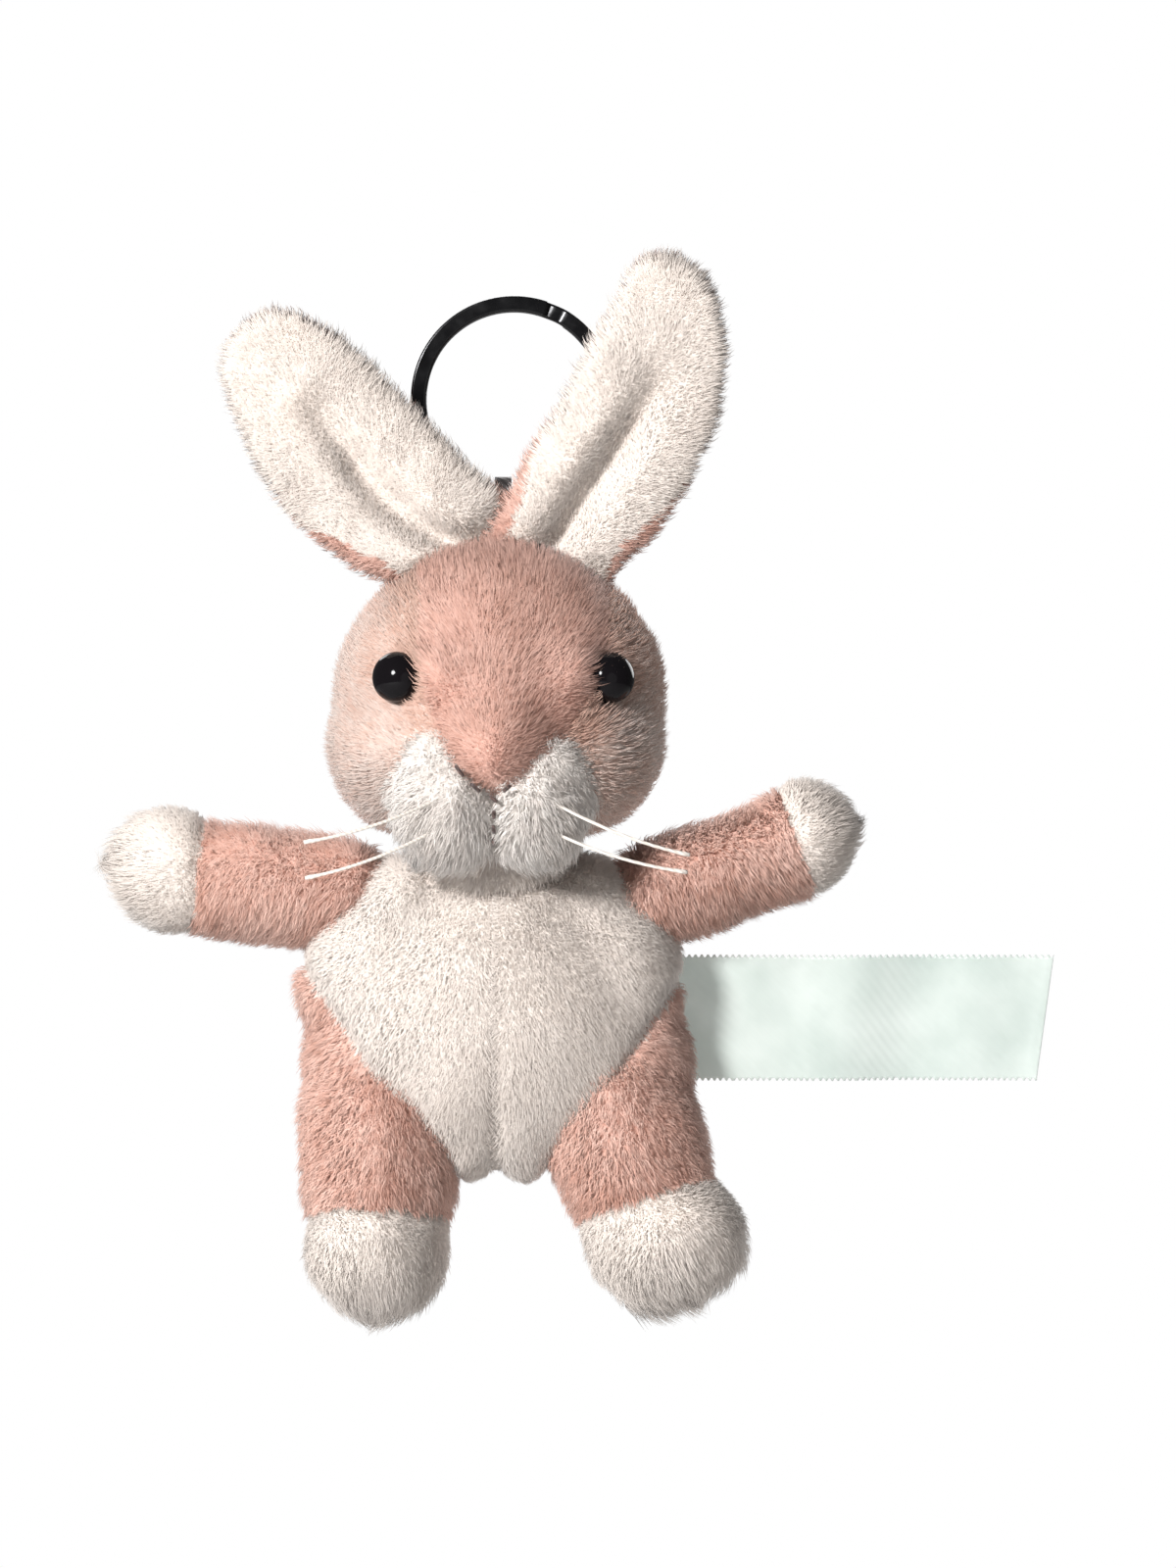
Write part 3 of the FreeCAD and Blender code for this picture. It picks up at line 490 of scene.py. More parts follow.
def furnish(name, form, cloth, ride, nodes, seed, fill=0.7, thickness=0.8, **pile):
    """A skin panel with its pile, in place of CAD nodes. ride places a piece on its body."""
    skin_material, _, slot = CLOTHS[cloth]
    points, faces = thickened(form, thickness)
    skin = new_object(name, points, faces, [skin_material])
    fur = grow(f"{name}_pile", form, cloth, seed, **pile)
    for piece in (skin, fur):
        ride(piece)
    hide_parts(*nodes)
    return skin, fur


def riding(body):
    return lambda piece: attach(piece, body)


# ---- head ----

NOSE_DROP = 12.6  # from the head's centre down to the point of the gusset
CROWN_RISE = 14.2  # from the head's centre up to where the whole front is gusset


def from_edges(points, edges):
    """How far points are, sideways, from the nearer of the two edges at their height."""
    left, right = edges(points[:, 2])
    return np.minimum(abs(points[:, 0] - left), abs(points[:, 0] - right))


def within_edges(points, edges):
    left, right = edges(points[:, 2])
    return (points[:, 0] > left) & (points[:, 0] < right)


def gusset_edges(z):
    """The left and right edges of the gusset at a height: it narrows to a point at the nose."""
    left_heights = -HEAD[2] + at(-16, -13, 0, 3.5, 9, NOSE_DROP)
    right_heights = -HEAD[2] + at(-16, -9, 0.5, 5.5, 10.2, NOSE_DROP)
    left = np.interp(-z, left_heights, at(9.2, 8.8, 7.6, 6.4, 4.0, 0.0))
    right = np.interp(-z, right_heights, at(13.6, 13.2, 10.8, 7.4, 2.6, 0.0))
    return MIDDLE - left, MIDDLE + right


def make_head():
    """The skull, full cheeks, a snout, full upper corners, and a low crown between the ears."""
    bm = bmesh.new()
    add_ball(bm, HEAD, (19.2, 17.0, 17.6))
    for reach in (-10.4, 9.6):
        add_ball(bm, HEAD + at(reach, -2.0, -5.6), (9.4, 12.5, 10.0))
    add_ball(bm, HEAD + at(0, -9.5, -5.5), (8.2, 10.0, 7.8))
    for reach in (-9.4, 9.4):
        add_ball(bm, HEAD + at(reach, 0, 8.6), (5.5, 8.0, 6.2))
    add_ball(bm, HEAD + at(0.6, 0.0, 13.4), (6.2, 5.8, 5.0))
    add_ball(bm, HEAD + at(1.8, 1.0, 16.4), (2.6, 3.4, 4.4))
    form = melted(bm, 0.75, 22)
    points = form.points
    near = from_edges(points, gusset_edges)
    front = (points[:, 1] < HEAD_SEAM_Y) & (points[:, 2] > HEAD[2] - NOSE_DROP)
    dent = 0.18 * bump(near, 1.0) * front + 0.4 * bump(points[:, 1] - HEAD_SEAM_Y, 0.8)
    for eye in eye_centres():
        inner = eye + at(4.2 * inner_way(eye), -1.4, 0.4)
        dent = dent + bump(np.linalg.norm(points - eye, axis=1), 3.8)
        dent = dent - 1.5 * bump(np.linalg.norm(points - inner, axis=1), 2.8)
    form.swell(-(dent + 0.3 * noise(points, 5.0, 3)))
    FACE.append(form.points)
    split_head(form)


def eye_centres():
    """Where the domes of the two eyes sit on the head."""
    found = []
    for eye in ("eye_left", "eye_right"):
        low, high = box_mm(eye)
        found.append(at((low[0] + high[0]) / 2, low[1] + 1.5, (low[2] + high[2]) / 2))
    return found


def inner_way(eye):
    """1 or -1: the way along X from an eye to the middle of the face."""
    return 1 if eye[0] < MIDDLE else -1


def clear_of_eyes(points):
    """No pile under the domes, except at their inner sides."""
    clear = np.ones(len(points), bool)
    for eye in eye_centres():
        inwards = (points[:, 0] - eye[0]) * inner_way(eye)
        clear &= np.linalg.norm(points - eye, axis=1) > np.where(inwards > 0.9, 1.9, 2.7)
    return clear


def head_lengths(points):
    """The pile is longer at the crown, and at the inner sides of the eyes it hangs over them."""
    longer = 1 + 0.7 * np.clip((points[:, 2] - HEAD[2] - 12) / 4, 0, 1)
    for eye in eye_centres():
        inwards = (points[:, 0] - eye[0]) * inner_way(eye)
        apart = np.linalg.norm(points - eye, axis=1)
        longer += 1.1 * bump(apart - 2.8, 1.4) * (inwards > 0.6)
    return longer


def away_from_nose(points, normals):
    """The way the head's pile is combed."""
    nose = HEAD + at(0, -19.0, -12.0)
    return points - nose


def nearer_the_gusset(points):
    """The side panels' pile is darker along the gusset, so the two cloths blend."""
    return 0.1 - 0.6 * bump(from_edges(points, gusset_edges), 3.8)


def split_head(form):
    """The head's panels: the gusset in front, the back, and a side panel on each cheek."""
    spots = form.centres()
    back = spots[:, 1] > HEAD_SEAM_Y
    crown = spots[:, 2] > HEAD[2] + CROWN_RISE
    inside = within_edges(spots, gusset_edges) & (spots[:, 2] > HEAD[2] - NOSE_DROP)
    gusset = ~back & (inside | crown)
    side = ~back & ~gusset
    ride = riding("head")
    furnish("head_gusset_skin", form.part(gusset), "tan", ride, ["head_gusset", "head_stuffing"], 100,
            length=1.6, comb=away_from_nose, keep=clear_of_eyes, lean=0.9, gather=0.3, tuft=1.0,
            mess=0.6, stretch=head_lengths, ruffled=0.15)
    furnish("head_back_skin", form.part(back), "tan", ride, ["head_back"], 200, density=0.75,
            length=2.0)
    cheeks = (("left", spots[:, 0] < MIDDLE, 300, 1.5, 0.3, 0.35),
              ("right", spots[:, 0] >= MIDDLE, 400, 1.9, 0.6, 1.0))
    for name, half, seed, length, gather, ruffled in cheeks:
        furnish(f"head_side_{name}_skin", form.part(side & half), "peach", ride,
                [f"head_side_{name}", f"eye_washer_{name}"], seed,
                length=length, comb=away_from_nose, keep=clear_of_eyes, lean=1.0, gather=gather,
                tuft=1.0, mess=0.6, shade=nearer_the_gusset, stretch=head_lengths, ruffled=ruffled)


def make_muzzle():
    """Two lobes that meet at the middle, and run up beside the nose onto the cheeks."""
    for side, sign, seed in (("left", -1, 500), ("right", 1, 550)):
        low, high = box_mm(f"muzzle_{side}")
        centre = (low + high) / 2
        size = (high - low) / 2
        bm = bmesh.new()
        add_ball(bm, centre + at(-sign * 1.1, 0.5, 0.4), size * at(1.02, 0.9, 0.88))
        add_ball(bm, centre + at(-sign * 0.2, 1.0, 4.2), (5.9, 6.4, 5.6))
        add_ball(bm, centre + at(sign * 2.2, 2.6, 2.8), (4.4, 5.4, 5.6))
        form = melted(bm, 0.6, 14)
        form.swell(0.35 * noise(form.points, 2.6, seed))
        FACE.append(form.points)

        def longer_below(points, middle=centre[2]):
            return 0.5 + 0.85 * np.clip((middle + 3.5 - points[:, 2]) / 9, 0, 1)

        furnish(f"muzzle_{side}_skin", form, "white", riding("head"),
                [f"muzzle_{side}", f"muzzle_stuffing_{side}"], seed, length=2.3, lean=0.85,
                comb=(sign * 0.5, 0, -1), tuft=1.5, gather=0.6, mess=0.7, over=9, ruffled=0.4,
                stretch=longer_below)


# ---- ears ----

def ear_axes(side):
    """Across, along and back unit vectors of an ear, from its hinge."""
    joint = next(j for j in frame["joints"] if j["name"] == f"ear_{side}_flop")
    across = unit(np.array(joint["axis"], float))
    lean = math.radians(EAR_LEAN)
    upright = np.cross(across, at(0, 1, 0))
    upright = upright if upright[2] > 0 else -upright
    along = unit(upright * math.cos(lean) + at(0, -1, 0) * math.sin(lean))
    return across, along, unit(np.cross(along, across))


# Each ear's length, and its half widths and sideways shifts at EAR_SHARES of that length.
EAR_SHARES = at(0, 0.18, 0.38, 0.6, 0.8, 0.92, 0.975, 1.0)
EARS = {
    "left": (36.4, at(7.8, 8.7, 9.4, 8.7, 7.2, 5.4, 3.4, 0.0),
             at(1.2, -1.2, -2.7, -3.1, -3.0, -3.0, -3.0, -3.0)),
    "right": (38.0, at(7.6, 8.3, 8.7, 8.1, 6.7, 5.0, 3.2, 0.0),
              at(-0.8, 1.3, 2.7, 3.3, 2.6, 1.4, 0.8, 0.6)),
}
EAR_TUCK = 3.6  # how far the foot goes on below the hinge, into the head
EAR_LEAN = 6.0  # degrees forward of upright
FOLD_TOP = 0.72  # the share of the length where the fold runs out
GROOVE_TOP = 0.74  # and where the pile in it is no longer short, nor darkened with painted shade


def make_ear(side, seed):
    """Two layers sewn at the edge: a rounded, cupped leaf with a deep fold from its root. Near the
    root the tan back wraps round to the front."""
    length, widths, shifts = EARS[side]
    across, along, back = ear_axes(side)
    root = JOINTS[f"ear_{side}_flop"]
    rows, columns = 90, 64
    share = 1 - (1 + EAR_TUCK / length) * (1 - np.linspace(0, 1, rows)) ** 1.25
    turn = np.linspace(0, 2 * math.pi, columns, endpoint=False)
    s, a = np.meshgrid(share, turn, indexing="ij")
    half = np.interp(s, EAR_SHARES, widths) + 0.02
    u = np.cos(a)
    is_front = np.sin(a) < 0
    puff = np.minimum(1, half / 4.0) * (1 - 0.25 * s)
    depth = np.sin(a) * np.where(is_front, 2.9, 1.2) * puff
    cup = 2.0 * u ** 2 * np.minimum(1, half / 6)
    window = np.clip((FOLD_TOP - s) / 0.3, 0, 1) * np.clip((s + 0.06) / 0.12, 0.5, 1)
    wobble = 0.5 * np.sin(s * 9 + seed)
    fold = bump(u * half + wobble, 2.1) * window * np.where(is_front, 2.7, 1.6)
    foot = 2.2 * np.clip((0.06 - s) / 0.14, 0, 1)
    y = depth - cup + fold + foot
    shift = np.interp(s, EAR_SHARES, shifts)
    points = (root + (u * half + shift)[..., None] * across + (s * length)[..., None] * along
              + y[..., None] * back).reshape(-1, 3)
    index = np.arange(rows * columns).reshape(rows, columns)
    faces = band(index)
    form = Form(points, faces)
    if ((form.points - (root + along * length / 2)) * form.normals).sum() < 0:
        form = Form(points, faces[:, ::-1])
    form.swell(0.25 * noise(form.points, 4.0, seed))
    height = ((form.centres() - root) @ along) / length
    corner = turn + math.pi / columns
    facing = np.tile(np.sin(corner), rows - 1)
    sideways = np.tile(np.cos(corner), rows - 1)
    outer, outer_reach, inner_reach = (-1, 0.30, 0.06) if side == "left" else (1, 0.20, 0.30)
    outer_wrap = 0.7 * bump(height - 0.12, outer_reach)
    inner_wrap = 0.8 * bump(height, inner_reach)
    front = facing < 0.1 - np.where(sideways * outer > 0, outer_wrap, inner_wrap)
    ride = riding(f"ear_{side}")

    def place_on_ear(points):
        """The share of the length that points are at, and how far they are from its middle line."""
        local = points - root
        up = np.clip(local @ along / length, 0, 1)
        return up, local @ across - np.interp(up, EAR_SHARES, shifts)

    def outward_comb(points, normals):
        _, aside = place_on_ear(points)
        return along * 0.7 + aside[:, None] * across / widths.max() * 1.2

    def edge_length(points):
        up, aside = place_on_ear(points)
        edge = np.clip(abs(aside) / np.maximum(np.interp(up, EAR_SHARES, widths), 1), 0, 1)
        groove = bump(aside, 2.2) * np.clip((GROOVE_TOP - up) / 0.2, 0, 1)
        return 0.75 + 0.5 * np.maximum(edge ** 4, (up > 0.9) * 0.7) - 0.25 * groove

    # Painted shade: the lining's pile is made darker along the fold's groove, where shade falls.
    def painted_groove_shade(points):
        up, aside = place_on_ear(points)
        return -0.2 * bump(aside, 1.6) * np.clip((GROOVE_TOP - up) / 0.3, 0, 1)

    furnish(f"ear_{side}_lining_skin", form.part(front), "cream", ride, [f"ear_{side}_lining"], seed,
            fill=0.2, thickness=0.4, length=1.6, lean=1.1, comb=outward_comb,
            stretch=edge_length, shade=painted_groove_shade, tuft=1.0, gather=0.25, mess=0.5, ruffled=0.18)
    furnish(f"ear_{side}_back_skin", form.part(~front), "tan", ride, [f"ear_{side}_back"], seed + 20,
            fill=0.2, thickness=0.4, length=1.7, lean=1.0, comb=outward_comb)


# ---- torso and neck ----

def make_neck():
    bm = bmesh.new()
    add_ball(bm, NECK, (9.6, 9.2, 8.6))
    form = melted(bm, 0.8, 6)
    front = form.centres()[:, 1] < SEAM_Y
    ride = riding("neck")
    furnish("neck_collar_front", form.part(front), "cream", ride, ["neck_skin"], 600, length=1.4)
    furnish("neck_collar_back", form.part(~front), "blush", ride, ["neck_stuffing"], 620, length=1.4)


def v_edges(z):
    """The left and right edges of the cream belly at a height: the V between the legs."""
    depth = BELLY[2] - z
    left = np.interp(depth, at(-40, -10.6, -9.2, 7.0, 18.5, 30), at(60, 60, 24.2, 13.6, 4.8, 3.8))
    right = np.interp(depth, at(-40, -9.6, -8.2, 7.0, 18.5, 30), at(60, 60, 23.8, 13.8, 5.6, 4.6))
    return MIDDLE - left, MIDDLE + right


def make_torso():
    """Chest, belly, shoulders, ribs and hips, and two lobes at the bottom of the belly."""
    bm = bmesh.new()
    add_ball(bm, BELLY + at(0, 0.5, 10.2), (15.8, 10.4, 10.0))
    add_ball(bm, BELLY, (21.6, 13.4, 17.6))
    for sign in (-1, 1):
        add_ball(bm, BELLY + at(sign * 10.8, 0.5, 13.0), (6.6, 8.0, 7.2))
    add_ball(bm, BELLY + at(-13.4, 0.0, 5.2), (10.0, 9.6, 10.8))
    add_ball(bm, BELLY + at(12.8, 0.0, 5.2), (9.6, 9.6, 10.8))
    add_ball(bm, BELLY + at(-13.4, 0.5, -5.0), (9.4, 9.4, 10.0))
    add_ball(bm, BELLY + at(14.0, 0.5, -5.0), (9.2, 9.4, 10.0))
    for sign in (-1, 1):
        add_ball(bm, BELLY + at(sign * 3.0, 0.5, -12.7), (4.9, 8.5, 6.4))
    form = melted(bm, 0.75, 24)
    points = form.points
    near = from_edges(points, v_edges)
    front = points[:, 1] < SEAM_Y
    off = points[:, 0] - MIDDLE
    crease = np.clip((BELLY[2] + 1 - points[:, 2]) / 12, 0.0, 1)
    dent = (0.7 * bump(off, 3.0) + 0.45 * bump(off, 0.9)) * front * crease
    ripple = np.sin(points[:, 2] * 2.6 + points[:, 0] * 0.3 + noise(points, 5.0, 11) * 2.5)
    dent = dent + 0.06 * ripple * np.clip(0.5 + noise(points, 9.0, 12), 0, 1) * front
    dent = dent + 0.5 * bump(off, 0.9) * ~front
    dent = dent + 0.7 * bump(near, 1.0) * front + 0.45 * bump(points[:, 1] - SEAM_Y, 0.8)
    form.swell(-(dent + 0.35 * noise(points, 6.0, 8)))
    spots = form.centres()
    belly = (spots[:, 1] < SEAM_Y) & within_edges(spots, v_edges)
    ride = riding("torso")

    def downwards(points, normals):
        off = points[:, [0]] - MIDDLE
        return at(0, 0, -1) + (off * 0.03 - np.sign(off) * 0.9 * bump(off, 1.3)) * at(1, 0, 0)

    halves = (("left", spots[:, 0] < MIDDLE, 700), ("right", spots[:, 0] >= MIDDLE, 750))
    for name, half, seed in halves:
        inside = ["torso_stuffing"] if name == "left" else []
        furnish(f"belly_{name}_skin", form.part(belly & half), "cream", ride,
                [f"belly_{name}"] + inside, seed, length=1.3, lean=1.4, comb=downwards, gather=0.15,
                tuft=1.0, mess=0.3, ruffled=0.06)
        furnish(f"back_{name}_skin", form.part(~belly & half), "blush", ride, [f"back_{name}"],
                seed + 20, density=0.85, length=1.8, lean=1.0, comb=downwards)
    make_tail()


def make_tail():
    low, high = box_mm("tail")
    bm = bmesh.new()
    add_ball(bm, (low + high) / 2, (high - low) / 2 * 0.86)
    furnish("tail_skin", melted(bm, 0.6, 4), "cream", riding("torso"), ["tail"], 800,
            length=2.6, lean=0.4, gather=0.6, over=10, ruffled=0.5)


# ---- limbs ----

def limb_ends(joint, sleeve, cap):
    """The pivot, the centre of the end ball, and the radii at both."""
    pivot = JOINTS[joint]
    low, high = box_mm(cap)
    radius = (high[1] - low[1]) / 2
    centre = (low + high) / 2
    main = int(np.argmax(abs(centre - pivot)))
    far = low[main] + radius if centre[main] < pivot[main] else high[main] - radius
    centre[main] = far
    sleeve_low, sleeve_high = box_mm(sleeve)
    return pivot, centre, (sleeve_high[1] - sleeve_low[1]) / 2, radius


def make_limb(name, motion, cap, seam, seed, offset, radii, skin_in, swell):
    """A stuffed tube: a sleeve, and an end cap past the seam, whose pile is longer at its tip. seam
    is measured from the joint, offset and radii are those of the cap's own ball, skin_in is how
    far the skin lies inside the CAD solid, and swell is how far the sleeve bulges."""
    sleeve_node, cap_node = f"{name}_sleeve", f"{name}_{cap}"
    pivot, centre, root_radius, end_radius = limb_ends(f"{name}_{motion}", sleeve_node, cap_node)
    ride = riding(name)
    axis = unit(centre - pivot)
    bm = bmesh.new()
    root, end = root_radius - skin_in, end_radius - skin_in
    add_ball(bm, pivot, (root, root, root))
    add_tube(bm, pivot, centre, root, end)
    add_ball(bm, centre, (end, end, end))
    add_ball(bm, centre + at(*offset), radii)
    form = melted(bm, 0.75, 14)
    reach = (form.points - pivot) @ axis
    change = swell * bump(reach - seam * 0.45, seam * 0.3) - 0.4 * bump(reach - seam, 1.0)
    form.swell(change + 0.3 * noise(form.points, 5.0, seed))
    past = (form.centres() - pivot) @ axis > seam
    furnish(f"{name}_sleeve_skin", form.part(~past), "blush", ride,
            [sleeve_node, f"{name}_stuffing"], seed, length=2.0, lean=0.9,
            comb=tuple(axis * 0.5 - at(0, 0, 1)))

    def longer_at_tip(points):
        beyond = (points - pivot) @ axis - seam
        ragged = 1 + 0.7 * noise(points, 1.8, seed + 5)
        return 0.42 + 0.9 * np.clip(beyond / 10, 0, 1) ** 2 * ragged

    furnish(f"{name}_{cap}_skin", form.part(past), "cream", ride, [cap_node], seed + 20,
            length=2.2, lean=0.95, comb=tuple(axis), tuft=1.2, gather=0.35, mess=0.5, ruffled=0.2,
            stretch=longer_at_tip)


def make_limbs():
    make_limb("arm_left", "raise", "paw", 16.6, 900, (0.2, 0, 0.9), (6.7, 6.6, 7.2),
              skin_in=1.1, swell=0.2)
    make_limb("arm_right", "raise", "paw", 17.8, 950, (-0.2, 0, 0.4), (6.0, 6.2, 6.7),
              skin_in=1.1, swell=0.2)
    for side, seed, outward in (("left", 1000, -0.6), ("right", 1050, 2.4)):
        make_limb(f"leg_{side}", "swing", "foot", 11.8, seed, (outward, -1.8, 0.3), (7.6, 8.0, 7.4),
                  skin_in=1.3, swell=0.3)


# ---- eyes, nose, whiskers ----

def tube(name, points, radii, material, sides=8):
    """A closed tube through points in millimetres, with a radius at each."""
    points = np.asarray(points, float)
    radii = np.broadcast_to(np.asarray(radii, float), len(points))
    along = unit(np.gradient(points, axis=0))
    helper = at(0, 0, 1) if abs(along[0][2]) < 0.9 else at(0, 1, 0)
    across = unit(np.cross(along, helper))
    over = np.cross(along, across)
    angle = np.linspace(0, 2 * math.pi, sides, endpoint=False)
    ring = across[:, None] * np.cos(angle)[None, :, None]
    ring = ring + over[:, None] * np.sin(angle)[None, :, None]
    vertices = (points[:, None] + ring * radii[:, None, None]).reshape(-1, 3)
    index = np.arange(len(points) * sides).reshape(-1, sides)
    quads = band(index)
    first, last = len(vertices), len(vertices) + 1
    vertices = np.concatenate([vertices, points[[0, -1]]])
    start = np.stack([np.full(sides, first), np.roll(index[0], -1), index[0]], -1)
    stop = np.stack([np.full(sides, last), index[-1], np.roll(index[-1], -1)], -1)
    return new_object(name, vertices, [quads, np.concatenate([start, stop])], [material])


def arc_points(a, b, c, count):
    """Points on a smooth curve through a, b and c."""
    t = np.linspace(0, 1, count)[:, None]
    control = 2 * b - (a + c) / 2
    return (1 - t) ** 2 * a + 2 * (1 - t) * t * control + t ** 2 * c


def eye_material():
    material, nodes, links, shader = new_material("eye_plastic")
    set_inputs(shader, Base_Color=(0.006, 0.005, 0.006, 1), Specular_IOR_Level=0.13)
    place = nodes.new("ShaderNodeTexCoord")
    scratch = new_node(nodes, "ShaderNodeTexNoise", Scale=900)
    spread = new_node(nodes, "ShaderNodeMapRange", To_Min=0.05, To_Max=0.12)
    join(links, (place, "Object", scratch, "Vector"), (scratch, "Fac", spread, "Value"),
         (spread, "Result", shader, "Roughness"))
    return material


def thread_material(name, light, dark, scale):
    """Twisted thread: diagonal raised bands, with painted shade in the low bands between them."""
    material, nodes, links, shader = new_material(name)
    set_inputs(shader, Roughness=0.55, Sheen_Weight=0.3)
    place = nodes.new("ShaderNodeTexCoord")
    wave = nodes.new("ShaderNodeTexWave")
    wave.bands_direction = "DIAGONAL"
    set_inputs(wave, Scale=scale, Distortion=1.5)
    # Painted shade: the ramp darkens the low bands between the twists, which the bump sinks.
    ramp = colour_ramp(nodes, dark, light)
    raised = new_node(nodes, "ShaderNodeBump", Strength=0.5, Distance=0.0001)
    join(links, (place, "Object", wave, "Vector"), (wave, "Color", ramp, "Fac"),
         (ramp, "Color", shader, "Base Color"), (wave, "Color", raised, "Height"),
         (raised, "Normal", shader, "Normal"))
    return material


def make_eyes():
    """Low domes with a small rim, sunk a little and turned to face out of the head."""
    material = eye_material()
    radius, height, sunk = 3.0, 2.4, 0.4
    rings, segments = 20, 40
    head_size = at(19.8, 17.5, 18.2)
    for side in ("left", "right"):
        low, high = box_mm(f"eye_{side}")
        centre = at((low[0] + high[0]) / 2, low[1] + 1.6, (low[2] + high[2]) / 2)
        normal = unit((centre - HEAD) / head_size ** 2)
        turn = Vector(normal).to_track_quat("Z", "Y").to_matrix()
        rows = []
        for i in range(rings + 1):
            angle = math.pi / 2 * i / rings
            rows.append((radius * math.cos(angle), height * math.sin(angle)))
        outline = [(radius * 0.9, -0.9), (radius * 1.02, -0.6)] + rows
        points, faces = turned_shape(outline, segments)
        points = points @ np.array(turn).T + centre - normal * sunk
        eye = new_object(f"eye_{side}_dome", points, faces, [material])
        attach(eye, "head")
        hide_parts(f"eye_{side}")


def turned_shape(outline, segments):
    """Turns an outline of (radius, height) about Z. Its last point is on the axis, and the base is
    closed."""
    angle = np.linspace(0, 2 * math.pi, segments, endpoint=False)
    rings = [np.stack([radius * np.cos(angle), radius * np.sin(angle), np.full(segments, height)], 1)
             for radius, height in outline[:-1]]
    points = np.concatenate(rings + [np.array([[0, 0, outline[-1][1]], [0, 0, outline[0][1]]])])
    index = np.arange(len(rings) * segments).reshape(-1, segments)
    top, base = len(points) - 2, len(points) - 1
    tops = np.stack([index[-1], np.roll(index[-1], -1), np.full(segments, top)], -1)
    bases = np.stack([np.roll(index[0], -1), index[0], np.full(segments, base)], -1)
    return points, [band(index), np.concatenate([tops, bases])]


def make_whiskers():
    """Stiff threads that droop slightly and end in a small bead."""
    count, radius, bead = 24, 0.19, (0.23, 0.27, 0.24)
    material = thread_material("whisker_thread", (0.86, 0.80, 0.73), (0.70, 0.63, 0.56), 700)
    for height in ("upper", "lower"):
        for side, sign in (("left", -1), ("right", 1)):
            node = f"whisker_{height}_{side}"
            low, high = box_mm(node)
            root = at(high[0] if sign < 0 else low[0], high[1] - 0.3, high[2] - 0.3)
            tip = at(low[0] if sign < 0 else high[0], low[1] + 0.6, low[2] + 0.3)
            middle = (root + tip) / 2 + at(0, -1.5, -0.7)
            points = arc_points(root, middle, tip, count)
            radii = np.full(count, radius)
            radii[-3:] = bead
            whisker = tube(f"{node}_cord", points, radii, material, sides=10)
            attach(whisker, "head")
            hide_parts(node)


def on_the_pile(spot):
    """A point moved back or forth until it lies on the pile in front of the face."""
    reach, pile_height = 0.9, 1.5
    skins = np.concatenate(FACE)
    near = (abs(skins[:, 0] - spot[0]) < reach) & (abs(skins[:, 2] - spot[2]) < reach)
    return at(spot[0], skins[near, 1].min() - pile_height, spot[2])


def make_nose():
    """Short dark stitches: a V under the nose, and a line down between the lobes."""
    material = thread_material("nose_thread", (0.10, 0.055, 0.045), (0.035, 0.02, 0.018), 900)
    low, _ = box_mm("nose_stitches")
    nose = at(MIDDLE, low[1], low[2] + 5.9)
    stitches = [((-4.3, 3.6), (-3.5, 2.5)), ((-2.5, 1.5), (-1.6, 0.7)), ((-0.3, 0.0), (0.4, -0.5)),
                ((1.3, 0.7), (2.0, 1.3)), ((0.1, -1.7), (0.1, -2.4)), ((0.0, -3.4), (0.1, -4.2)),
                ((0.1, -5.0), (0.0, -5.6))]
    for i, ((x0, z0), (x1, z1)) in enumerate(stitches):
        start = on_the_pile(nose + at(x0, 0, z0))
        end = on_the_pile(nose + at(x1, 0, z1))
        points = arc_points(start, (start + end) / 2 + at(0, -0.35, 0), end, 10)
        stitch = tube(f"nose_stitch_{i}", points, np.full(10, 0.24), material)
        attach(stitch, "head")
        if i == 0:
            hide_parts("nose_stitches")


# ---- ring, loop, ribbon ----

def ring_material():
    material, nodes, links, shader = new_material("black_nickel")
    set_inputs(shader, Base_Color=(0.009, 0.009, 0.01, 1), Metallic=0.5)
    place = nodes.new("ShaderNodeTexCoord")
    wear = new_node(nodes, "ShaderNodeTexNoise", Scale=500, Detail=6)
    spread = new_node(nodes, "ShaderNodeMapRange", From_Min=0.35, From_Max=0.7, To_Min=0.10,
                      To_Max=0.30)
    join(links, (place, "Object", wear, "Vector"), (wear, "Fac", spread, "Value"),
         (spread, "Result", shader, "Roughness"))
    return material


def dress(node, material):
    """Gives a CAD piece that is shown as it is its finish."""
    piece = frame["nodes"][node]
    piece.data.materials.clear()
    piece.data.materials.append(material)


def satin_material():
    """Satin weave: a fine diagonal twill, and a cloudy colour that is partly uneven tone and partly
    painted sheen. The thin cloth lets light through.
    """
    material, nodes, links, shader = new_material("ribbon_satin")
    set_inputs(shader, Roughness=0.32, Anisotropic=0.5, Sheen_Weight=0.25, Subsurface_Weight=0.7,
               Subsurface_Radius=(1.0, 1.0, 1.0), Subsurface_Scale=0.001)
    place = nodes.new("ShaderNodeTexCoord")
    twill = nodes.new("ShaderNodeTexWave")
    twill.bands_direction = "DIAGONAL"
    set_inputs(twill, Scale=420)
    # Broad clouds of lighter and darker colour: partly uneven tone, partly painted sheen.
    cloud = new_node(nodes, "ShaderNodeTexNoise", Scale=120, Detail=3)
    ramp = colour_ramp(nodes, (0.42, 0.48, 0.445), (0.57, 0.625, 0.585), 0.25, 0.75)
    raised = new_node(nodes, "ShaderNodeBump", Strength=0.25, Distance=0.00008)
    join(links, (place, "Object", twill, "Vector"), (place, "Object", cloud, "Vector"),
         (cloud, "Fac", ramp, "Fac"), (ramp, "Color", shader, "Base Color"),
         (twill, "Fac", raised, "Height"), (raised, "Normal", shader, "Normal"))
    return material


